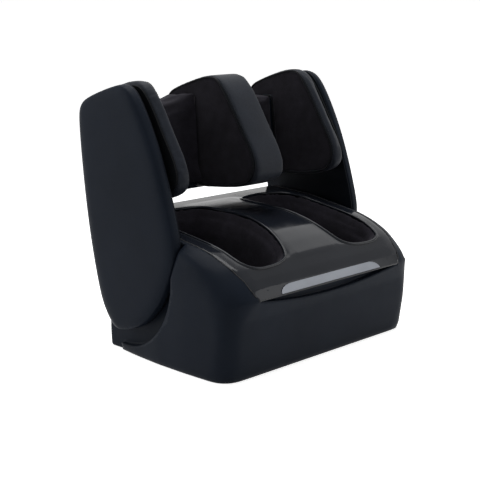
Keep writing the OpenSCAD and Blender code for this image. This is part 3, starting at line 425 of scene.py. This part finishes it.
def neighbours_along(edges):
    """For each vertex of a set of edges, the vertices at the other ends of its edges."""
    near = {}
    for e in edges:
        for v in e.verts:
            near.setdefault(v, []).append(e.other_vert(v))
    return near


def soften(bm, passes):
    """Rounds the flat facets of curved walls and outlines, and leaves true creases and corners in place."""
    chained = neighbours_along([e for e in bm.edges if is_crease(e, CREASE)])
    free = [v for v in bm.verts if v not in chained]
    along = [
        (v, a, b)
        for v, (a, b) in ((v, ns) for v, ns in chained.items() if len(ns) == 2)
        if (v.co - a.co).length > 0 and (b.co - v.co).length > 0 and (v.co - a.co).angle(b.co - v.co) < CORNER
    ]
    for _ in range(passes):
        relax(bm, free)
        moved = [(v, v.co * 0.5 + (a.co + b.co) * 0.25) for v, a, b in along]
        for v, co in moved:
            v.co = co


def smooth_shaded(piece, angle=38):
    piece.data.polygons.foreach_set("use_smooth", [True] * len(piece.data.polygons))
    piece.data.set_sharp_from_angle(angle=math.radians(angle))
    return piece


# Moulded pieces: the CAD node's walls, with its facets rounded.
for node, material, longest, passes in (
    ("lower_shell", shell_plastic, 8 * MM, 10),
    ("top_deck", deck_plastic, 5 * MM, 10),
    ("left_side_cover", shell_plastic, 7 * MM, 8),
    ("right_side_cover", shell_plastic, 7 * MM, 8),
):
    skin = welded_copy(node)
    refine(skin, longest)
    soften(skin, passes)
    smooth_shaded(piece_from(skin, node + "_skin", material, node))

# ---------- padded goods ----------

CENTRE_HALF = 37 * MM  # half-width of the centre pad's cushion
CENTRE_CUT_X = 18 * MM  # where the centre cushion shows its full outline
SIDE_FACE_X = 206 * MM  # where the side pads' cloth faces lie
SIDE_CUT_X = 215 * MM
SIDE_BACK_X = 231 * MM
BORDER = 12 * MM  # leather between the pads' outlines and the beds of their cloth
SOFTNESS = 7 * MM  # radius of the cushions' edges
BED_DEPTH = 3 * MM
BED_SLOPE = 1.5 * MM
SEAM_MARGIN = 3.5 * MM  # leather left outside the seam, except along a pad's front
PRESSURE = 4.0
FRAMES = 20  # length of each cloth simulation


def outline_at(node, x):
    """The outline in which the plane at x cuts a CAD node, filled as one face."""
    bm = welded_copy(node)
    bmesh.ops.bisect_plane(
        bm, geom=bm.verts[:] + bm.edges[:] + bm.faces[:], plane_co=(x, 0, 0), plane_no=(1, 0, 0),
        clear_inner=True, clear_outer=True,
    )
    shortest = 0.4 * MM
    bmesh.ops.remove_doubles(bm, verts=bm.verts, dist=shortest)
    bmesh.ops.contextual_create(bm, geom=bm.edges)
    bmesh.ops.recalc_face_normals(bm, faces=bm.faces)
    if bm.faces[:][0].normal.x < 0:
        bmesh.ops.reverse_faces(bm, faces=bm.faces)
    return bm


def slab_of(bm, low_x, high_x):
    """Thickens a filled outline into a closed slab between two X places; returns its two caps."""
    bottom = bm.faces[:][0]
    for v in bm.verts:
        v.co.x = low_x
    grown = bmesh.ops.extrude_face_region(bm, geom=[bottom], use_keep_orig=True)["geom"]
    for part in grown:
        if isinstance(part, bmesh.types.BMVert):
            part.co.x = high_x
    top = next(part for part in grown if isinstance(part, bmesh.types.BMFace))
    bmesh.ops.recalc_face_normals(bm, faces=bm.faces)
    return bottom, top


def evaluated(carrier):
    """What an object gives with its modifiers and settings applied, as a bmesh; the object goes."""
    made = bpy.data.meshes.new_from_object(carrier.evaluated_get(bpy.context.evaluated_depsgraph_get()))
    bpy.data.objects.remove(carrier)
    bm = bmesh.new()
    bm.from_mesh(made)
    return bm


def remeshed(bm, size, passes):
    """The same closed form in even quads, relaxed by a number of passes."""
    raw = placed("raw_form", mesh_of(bm, "raw_form"))
    bm.free()
    even = raw.modifiers.new("even", "REMESH")
    even.mode, even.voxel_size = "VOXEL", size
    bm = evaluated(raw)
    for _ in range(passes):
        relax(bm, bm.verts)
    return bm


def inflated(bm, held, cap):
    """Swells a closed form as stuffed cloth. held gives 0 to 1 per vertex; no point moves further than cap."""
    stuffed = placed("stuffed_form", mesh_of(bm, "stuffed_form"))
    group = stuffed.vertex_groups.new(name="held")
    for i, weight in enumerate(held):
        group.add([i], weight, "REPLACE")
    cloth = stuffed.modifiers.new("stuffing", "CLOTH")
    settings = cloth.settings
    settings.quality = 4
    settings.use_pressure = True
    settings.uniform_pressure_force = PRESSURE
    settings.vertex_group_mass = "held"
    settings.tension_stiffness = settings.compression_stiffness = 12
    settings.effector_weights.gravity = 0
    cloth.collision_settings.use_collision = False
    for moment in range(1, FRAMES + 1):
        scene.frame_set(moment)
    swollen = stuffed.evaluated_get(bpy.context.evaluated_depsgraph_get()).to_mesh()
    bm.verts.ensure_lookup_table()
    for v, moved in zip(bm.verts, swollen.vertices):
        step = moved.co - v.co
        if step.length > 1e-9:
            v.co += step * (cap * math.tanh(step.length / cap) / step.length)
    bpy.data.objects.remove(stuffed)
    scene.frame_set(1)
    return bm


def round_pairs(points):
    """Each point of a closed loop with the next one."""
    return zip(points, points[1:] + points[:1])


def edge_distance(points, spacing=2 * MM):
    """A function that gives the distance from a point to a closed loop of points."""
    dense = []
    for a, b in round_pairs(points):
        count = max(1, int((b - a).length / spacing))
        dense += [a.lerp(b, k / count) for k in range(count)]
    tree = KDTree(len(dense))
    for i, p in enumerate(dense):
        tree.insert(p, i)
    tree.balance()
    return lambda p: tree.find(p)[2]


def loop_points(face):
    return [v.co.copy() for v in face.verts]


def on_plane(points, x):
    return [Vector((x, p.y, p.z)) for p in points]


def side_cap(bm, side):
    """The flat face of a slab that looks towards +X or -X."""
    return max(bm.faces, key=lambda f: (f.normal.x * side, f.calc_area()))


def leather_cushion(node, cut_x, low_x, high_x, faces_at):
    """A foam pad in leather: rounded edges, crowned band, and a sunken bed for each cloth face."""
    bm = outline_at(node, cut_x)
    caps = slab_of(bm, low_x, high_x)
    rims = [e for cap in caps for e in cap.edges]
    bmesh.ops.bevel(
        bm, geom=rims, offset=SOFTNESS, offset_type="OFFSET", segments=4, profile=0.5,
        affect="EDGES", clamp_overlap=True, material=-1,
    )
    beds = []
    for side in faces_at:
        cap = side_cap(bm, side)
        bmesh.ops.inset_region(bm, faces=[cap], thickness=BORDER - SOFTNESS, depth=0, use_even_offset=True)
        rim_x = high_x if side > 0 else low_x
        beds.append((side, rim_x, edge_distance(on_plane(loop_points(cap), rim_x))))
        bmesh.ops.inset_region(bm, faces=[cap], thickness=BED_SLOPE, depth=-BED_DEPTH, use_even_offset=True)
    bm = remeshed(bm, 4.5 * MM, 2)
    middle = (low_x + high_x) / 2
    sunken = (high_x - low_x) / 2 - 1.2 * MM
    held = []
    for v in bm.verts:
        weight = 0.0
        for side, rim_x, distance in beds:
            depth = (v.co.x - middle) * side
            if depth > 0:
                at_rim = distance(Vector((rim_x, v.co.y, v.co.z))) < 3 * MM
                in_bed = abs(v.normal.x) > 0.7 and depth < sunken
                weight = max(weight, 1.0 if at_rim or in_bed else 0.0)
        held.append(weight)
    return inflated(bm, held, 3.5 * MM)


def outwards(along):
    """The direction that leads away from an upright loop which runs this way."""
    return Vector((0, along.z, -along.y))


def grown_edge(face, room):
    """Moves an outline out to the seam margin; its front stays, and keeps a band of leather.

    room gives the distance from a point to the pad's own outline. Returns 0 to 1 per vertex, 1 at the front."""
    points = loop_points(face)
    fronts = []
    for v, before, after in zip(face.verts, points[-1:] + points[:-1], points[1:] + points[:1]):
        out = outwards((after - before).normalized())
        share = min(1, max(0, (out.y + 0.8) / 0.4))
        fronts.append(1 - share)
        v.co += out * max(0, room(v.co) - SEAM_MARGIN) * share
    return fronts


def edge_drop(gap):
    """How far a cushion's rounded edge has fallen away from the flat at a distance inside its outline."""
    short = min(SOFTNESS, max(0, SOFTNESS - gap))
    return SOFTNESS - math.sqrt(SOFTNESS**2 - short**2)


FACE_SUNK = 3.2 * MM  # how deep a cloth face reaches into its bed
FACE_PROUD = 0.6 * MM  # how far it stands above the leather before it swells
FACE_CROWN = 6 * MM  # how far it may swell
PIPING_LIFT = 0.4 * MM
PUCKER_DEPTH = 0.5 * MM
FOLD_DEPTH = 1.3 * MM


def cloth_relief(y, z, side, plane_x, gap):
    """Puckers beside the seam and soft folds further in, at a distance inside the seam."""
    pucker = noise.noise(Vector((y * 70, z * 70, side))) * PUCKER_DEPTH
    fold = noise.noise(Vector((y * 16, z * 34, 3.7 * side + plane_x * 50))) * FOLD_DEPTH
    edge = math.exp(-gap / (9 * MM))
    return pucker * edge * 1.4 + fold * (1 - edge) * min(1, gap / (20 * MM))


def cloth_face(node, cushion, plane_x, side):
    """A stretched cloth panel, sewn down along its edge and swollen by the airbag or foam under it.

    Returns its form, and its seam as points that each carry 0 to 1, 1 along the pad's front."""
    pad = outline_at(cushion, plane_x - side * 10 * MM)
    pad_edge = edge_distance(on_plane(loop_points(pad.faces[:][0]), plane_x))
    pad.free()

    def room(p):
        return pad_edge(Vector((plane_x, p.y, p.z)))

    bm = outline_at(node, plane_x + side * 0.3 * MM)
    fronts = grown_edge(bm.faces[:][0], room)
    seam = [
        (Vector((plane_x - side * (edge_drop(room(p)) - PIPING_LIFT), p.y, p.z)), front)
        for p, front in zip(loop_points(bm.faces[:][0]), fronts)
    ]
    top_x = plane_x + side * FACE_PROUD
    slab_of(bm, *sorted((plane_x - side * FACE_SUNK, top_x)))
    away = edge_distance(on_plane(loop_points(side_cap(bm, side)), top_x))
    bm = remeshed(bm, 3.2 * MM, 1)
    held, gaps = [], []
    for v in bm.verts:
        gap = away(Vector((top_x, v.co.y, v.co.z)))
        outer = (v.co.x - plane_x) * side > -1.2 * MM
        gaps.append(gap if outer else 0.0)
        held.append(0.0 if outer and gap > 4 * MM else 1.0)
    bm = inflated(bm, held, FACE_CROWN)
    for v, gap in zip(bm.verts, gaps):
        v.co.x -= side * edge_drop(room(v.co))
        if gap > 0:
            v.co.x += side * cloth_relief(v.co.y, v.co.z, side, plane_x, gap)
    return bm, seam


def mirrored(bm):
    """The same form on the other side of the machine."""
    other = bm.copy()
    bmesh.ops.scale(other, verts=other.verts, vec=(-1, 1, 1))
    bmesh.ops.reverse_faces(other, faces=other.faces)
    return other


def padded_piece(bm, name, material, node, subdivide=1):
    """Makes a finished soft piece of a closed form."""
    piece = smooth_shaded(piece_from(bm, name, material, node), 60)
    if subdivide:
        finer = piece.modifiers.new("finer", "SUBSURF")
        finer.levels = finer.render_levels = subdivide


centre_form = leather_cushion("centre_cushion", CENTRE_CUT_X, -CENTRE_HALF, CENTRE_HALF, (1, -1))
side_form = leather_cushion("right_cushion", SIDE_CUT_X, SIDE_FACE_X, SIDE_BACK_X, (-1,))


def tube(points, radius, closed=True):
    """A round bead along a line of points."""
    line = bpy.data.curves.new("bead_line", "CURVE")
    line.dimensions = "3D"
    line.bevel_depth = radius
    line.bevel_resolution = 3
    line.use_fill_caps = not closed
    spline = line.splines.new("POLY")
    spline.points.add(len(points) - 1)
    for place, p in zip(spline.points, points):
        place.co = (*p, 1)
    spline.use_cyclic_u = closed
    return evaluated(placed("bead_line", line))


def even_loop(points, step, passes=4):
    """The same closed loop with evenly spaced points and its small corners eased."""
    dense = []
    for a, b in round_pairs(points):
        count = max(1, round((b - a).length / (step / 6)))
        dense += [a.lerp(b, k / count) for k in range(count)]
    kept = [dense[0]]
    for p in dense[1:]:
        if (p - kept[-1]).length >= step and (p - kept[0]).length > step / 2:
            kept.append(p)
    for _ in range(passes):
        before, after = kept[-1:] + kept[:-1], kept[1:] + kept[:1]
        kept = [(a + 2 * b + c) / 4 for a, b, c in zip(before, kept, after)]
    return kept


STITCH_PITCH = 4.6 * MM
STITCH_LENGTH = 3.2 * MM
STITCH_RADIUS = 0.45 * MM
STITCH_OFFSET = 4.5 * MM  # from the seam
STITCH_LIFT = 0.1 * MM
PIPING_RADIUS = 1.9 * MM
WELL_RIM_RADIUS = 3.2 * MM
WELL_RIM_SUNK = 0.8 * MM
SEAM_SHADE_BEAD_RADIUS = 0.9 * MM


def seam_stitches(seam, side, surface):
    """A row of top stitches in the leather beside the front part of a seam."""
    bm = bmesh.new()
    travelled = 0.0
    for (a, front), (b, _) in round_pairs(seam):
        step = (b - a).length
        along = (b - a).normalized()
        while front > 0.6 and travelled < step:
            place = a + along * travelled + outwards(along) * STITCH_OFFSET
            hit, normal, _, _ = surface.ray_cast(place + Vector((side * 30 * MM, 0, 0)), Vector((-side, 0, 0)))
            if hit is not None:
                made = bmesh.ops.create_uvsphere(bm, u_segments=6, v_segments=5, radius=STITCH_RADIUS)["verts"]
                bmesh.ops.scale(bm, verts=made, vec=(1, 1, STITCH_LENGTH / (2 * STITCH_RADIUS)))
                turn = Vector((0, 0, 1)).rotation_difference((along - normal * along.dot(normal)).normalized())
                bmesh.ops.rotate(bm, verts=made, cent=(0, 0, 0), matrix=turn.to_matrix())
                bmesh.ops.translate(bm, verts=made, vec=hit + normal * STITCH_LIFT)
            travelled += STITCH_PITCH
        travelled = max(0.0, travelled - step)
    return bm


def sewn_face(node, cushion, form, plane_x, side):
    """The forms of one cloth face, and of the piping and the stitches of its seam."""
    face, seam = cloth_face(node, cushion, plane_x, side)
    piping = tube(even_loop([p for p, _ in seam], 4 * MM, 2), PIPING_RADIUS)
    return face, piping, seam_stitches(seam, side, BVHTree.FromBMesh(form))


def fitting(bm, name, material, node):
    """A hard or thin extra piece that rides a CAD node and replaces none."""
    smooth_shaded(piece_from(bm, name, material, node, False), 80)


def sew(forms, title, face_node, cushion_node):
    """Makes the pieces of one sewn face."""
    face, piping, stitches = forms
    padded_piece(face, title + "_cloth", face_cloth, face_node)
    fitting(piping, title + "_piping", piping_leather_painted_shade, cushion_node)
    fitting(stitches, title + "_stitches", thread, cushion_node)


centre_forms = sewn_face("centre_right_face", "centre_cushion", centre_form, CENTRE_HALF, 1)
side_forms = sewn_face("right_face", "right_cushion", side_form, SIDE_FACE_X, -1)
sew([mirrored(form) for form in centre_forms], "centre_left", "centre_left_face", "centre_cushion")
sew(centre_forms, "centre_right", "centre_right_face", "centre_cushion")
sew([mirrored(form) for form in side_forms], "left_pad", "left_face", "left_cushion")
sew(side_forms, "right_pad", "right_face", "right_cushion")
padded_piece(centre_form, "centre_leather_pad", leather, "centre_cushion")
padded_piece(mirrored(side_form), "left_leather_pad", leather, "left_cushion")
padded_piece(side_form, "right_leather_pad", leather, "right_cushion")


LINER_RIM_Z = 145 * MM  # upturned walls above this are the rim under the deck


def liner_form(node):
    """The cloth cup of a foot well: soft walls that swell inwards over the airbags, under a rim held still."""
    bm = remeshed(welded_copy(node), 4 * MM, 3)
    low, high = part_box(node)
    centre = (low + high) / 2
    held = []
    for v in bm.verts:
        towards = Vector((centre.x - v.co.x, 0.6 * (centre.y - v.co.y), 0))
        inner = v.normal.dot(towards.normalized()) > 0.25 or v.normal.z > 0.6
        rim = v.normal.z > 0.3 and v.co.z > LINER_RIM_Z
        held.append(0.0 if inner and not rim else 1.0)
    return inflated(bm, held, 4 * MM)


for side, node in (("left", "left_foot_liner"), ("right", "right_foot_liner")):
    padded_piece(liner_form(node), side + "_well_cloth", liner_cloth, node, 0)


def edge_chains(edges):
    """The lines of points in which a set of edges runs, each from end to end or round its loop."""
    near = neighbours_along(edges)
    left = dict.fromkeys(sorted(near, key=lambda v: (len(near[v]), v.index)))
    chains = []
    while left:
        chain = [next(iter(left))]
        del left[chain[0]]
        while True:
            ways = [w for w in near[chain[-1]] if w in left]
            if not ways:
                break
            chain.append(ways[0])
            del left[ways[0]]
        chains.append([v.co.copy() for v in chain])
    return chains


def breaks_downwards(edge):
    """True where a top surface breaks off into an upright wall."""
    tilts = sorted(abs(f.normal.z) for f in edge.link_faces)
    return len(tilts) == 2 and tilts[0] < 0.12 and max(f.normal.z for f in edge.link_faces) > 0.25


WELLS_FROM_X, WELLS_TO_X, WELLS_ABOVE_Z = 40 * MM, 212 * MM, 120 * MM  # where the deck's well mouths lie

deck = welded_copy("top_deck")
deck.verts.index_update()
for side, sign in (("left", -1), ("right", 1)):
    around = [
        e for e in deck.edges
        if breaks_downwards(e)
        and all(WELLS_FROM_X < sign * v.co.x < WELLS_TO_X and v.co.z > WELLS_ABOVE_Z for v in e.verts)
    ]
    rim = even_loop(max(edge_chains(around), key=len), 5 * MM)
    sunk = [p - Vector((0, 0, WELL_RIM_SUNK)) for p in rim]
    fitting(tube(sunk, WELL_RIM_RADIUS), side + "_well_rim", deck_plastic, "top_deck")

shell = welded_copy("lower_shell")
shell_walls = BVHTree.FromBMesh(shell)
inside = Vector((0, 0, 100 * MM))  # a point in the base, to tell outer edges from inner ones


def at_shell(edge):
    """True for the outer edges of the deck that lie on the lower shell."""
    if not is_crease(edge, math.radians(40)) or len(edge.link_faces) != 2:
        return False
    middle = (edge.verts[0].co + edge.verts[1].co) / 2
    out = (middle - inside).normalized()
    return all(shell_walls.find_nearest(v.co)[3] < 0.5 * MM for v in edge.verts) and all(
        f.normal.dot(out) > -0.05 for f in edge.link_faces
    )


# A thin matt black bead along the joint of deck and shell: a dark thing laid in as painted shade, standing for
# the shadow in the gap between them.
seam_shade_bead = bmesh.new()
for chain in edge_chains([e for e in deck.edges if at_shell(e)]):
    if sum((b - a).length for a, b in zip(chain, chain[1:])) > 30 * MM:
        part = tube(chain, SEAM_SHADE_BEAD_RADIUS, False)
        mesh = mesh_of(part, "seam_shade_bead_part")
        part.free()
        seam_shade_bead.from_mesh(mesh)
        bpy.data.meshes.remove(mesh)
fitting(seam_shade_bead, "deck_seam_shade_bead", rubber, "top_deck")
deck.free()
shell.free()


def block(bm, low, high):
    """Adds a box between two corners."""
    made = bmesh.ops.create_cube(bm, size=1)["verts"]
    for v in made:
        for i in range(3):
            v.co[i] = low[i] if v.co[i] < 0 else high[i]


REST_LEAN = math.radians(6)  # of the rear housing at rest
REST_FOOT = Vector((0, 127 * MM, 290 * MM))  # lower front edge of the rear housing
REST_FRONT, REST_REAR = -9 * MM, 54 * MM  # from that edge, in the housing's own directions
REST_BOTTOM, REST_TOP = 12 * MM, 174 * MM


def calf_rest():
    """The padded cloth that covers the rear housing between two pads and turns over its top."""
    low_x, high_x = 40 * MM, 193 * MM
    backing_y = -1.5 * MM  # behind this the cloth lies on the housing
    bm = bmesh.new()
    block(bm, (low_x, REST_FRONT, REST_BOTTOM), (high_x, -0.5 * MM, REST_TOP))
    block(bm, (low_x, REST_FRONT, REST_TOP - 14 * MM), (high_x, REST_REAR, REST_TOP))
    bm = remeshed(bm, 4 * MM, 8)
    held = [1.0 if v.co.y > backing_y and v.co.z < REST_TOP - 6 * MM else 0.0 for v in bm.verts]
    bm = inflated(bm, held, 3 * MM)
    for v in bm.verts:
        inner, outer = max(0, v.co.x - low_x), max(0, high_x - v.co.x)
        if v.co.y < backing_y:  # the front curves out to meet the pads on both sides
            v.co.y -= 26 * MM * math.exp(-inner / (10 * MM)) + 7 * MM * math.exp(-outer / (12 * MM))
        if v.co.z > REST_TOP - 12 * MM:  # the top climbs towards the centre pad, with soft folds
            v.co.z += 22 * MM * math.exp(-inner / (42 * MM)) - 2 * MM
            v.co.z += 1.6 * MM * noise.noise(Vector((v.co.x * 30, v.co.y * 55, 4)))
    bmesh.ops.rotate(bm, verts=bm.verts, cent=(0, 0, 0), matrix=Matrix.Rotation(-REST_LEAN, 3, "X"))
    bmesh.ops.translate(bm, verts=bm.verts, vec=REST_FOOT)
    return bm


rest_form = calf_rest()
for form, side in ((mirrored(rest_form), "left"), (rest_form, "right")):
    rest = smooth_shaded(piece_from(form, side + "_calf_rest", liner_cloth, "centre_left_face", False), 60)


def airbag(node):
    """Welded film bags, filled a little: their broad faces are free, and their edges are mostly held."""
    bm = remeshed(welded_copy(node), 3 * MM, 2)
    held = [0.0 if abs(v.normal.z) > 0.9 or abs(v.normal.x) > 0.9 else 0.7 for v in bm.verts]
    return inflated(bm, held, 1.5 * MM)


for node in ("foot_airbags", "centre_airbags"):
    padded_piece(airbag(node), node + "_film", bag_film, node, 0)

# ---------- camera, floor and light ----------

CAMERA_PLACE = (-1.6586, -1.5558, 0.6882)
CAMERA_AZIMUTH, CAMERA_ELEVATION = math.radians(-46.178), math.radians(12.233)  # from straight ahead, and up

camera_data = bpy.data.cameras.new("camera")
camera_data.lens = 88.19
camera_data.sensor_width = 36
camera_data.shift_y = 0.0017
camera_data.clip_start, camera_data.clip_end = 0.1, 50
camera = placed("camera", camera_data)
level = math.cos(CAMERA_ELEVATION)
back = Vector((math.sin(CAMERA_AZIMUTH) * level, -math.cos(CAMERA_AZIMUTH) * level, math.sin(CAMERA_ELEVATION)))
camera.rotation_mode = "QUATERNION"
camera.location = CAMERA_PLACE
camera.rotation_quaternion = (-back).to_track_quat("-Z", "Y")
scene.camera = camera


def seen_share(tree, seen, lit, closure, *rays):
    """Gives one strength where the named rays see it, and another for everything that it lights."""
    path = tree.nodes.new("ShaderNodeLightPath").outputs
    total = path[rays[0]]
    for ray in rays[1:]:
        most = tree.nodes.new("ShaderNodeMath")
        most.operation = "MAXIMUM"
        tree.links.new(total, most.inputs[0])
        tree.links.new(path[ray], most.inputs[1])
        total = most.outputs[0]
    mix = tree.nodes.new("ShaderNodeMix")
    tree.links.new(total, mix.inputs[0])
    mix.inputs[2].default_value, mix.inputs[3].default_value = lit, seen
    tree.links.new(mix.outputs[0], closure)


SEEN = ("Is Camera Ray", "Is Glossy Ray", "Is Transmission Ray")
WHITE = (1, 1, 1, 1)

world = bpy.data.worlds.new("studio")
world.use_nodes = True
background = world.node_tree.nodes["Background"]
background.inputs["Color"].default_value = WHITE
seen_share(world.node_tree, 1.0, 0.2, background.inputs["Strength"], *SEEN)
scene.world = world

ground = bmesh.new()
bmesh.ops.create_grid(ground, x_segments=1, y_segments=1, size=120)
floor = placed("floor", mesh_of(ground, "floor"))
ground.free()
floor_look = Finish("pale_floor", roughness=0.9, specular_ior_level=0.1)
floor_look.shader.inputs["Base Color"].default_value = (0.9, 0.9, 0.9, 1)
floor_look.shader.inputs["Emission Color"].default_value = WHITE
seen_share(floor_look.tree, 0.84, 0.0, floor_look.shader.inputs["Emission Strength"], *SEEN)
floor.data.materials.append(floor_look.material)


def softbox(name, place, target, size, power):
    """A rectangular lamp, in watts, turned towards a target."""
    data = bpy.data.lights.new(name, "AREA")
    data.shape = "RECTANGLE"
    data.size, data.size_y = size
    data.energy = power
    lamp = placed(name, data)
    lamp.location = place
    lamp.rotation_mode = "QUATERNION"
    lamp.rotation_quaternion = (Vector(target) - Vector(place)).to_track_quat("-Z", "Y")


softbox("overhead", (0.0, 0.3, 2.4), (0, 0, 0.2), (2.2, 1.6), 52)
softbox("left_wall", (-2.1, 1.75, 1.1), (0, 0, 0.25), (1.4, 1.8), 22)
softbox("right_wall", (1.75, -2.1, 1.0), (0, 0, 0.2), (1.4, 1.6), 13)
softbox("rear_window", (2.2, 0.3, 2.3), (0, 0, 0.25), (1.2, 0.9), 4)

scene.view_settings.view_transform = "Standard"
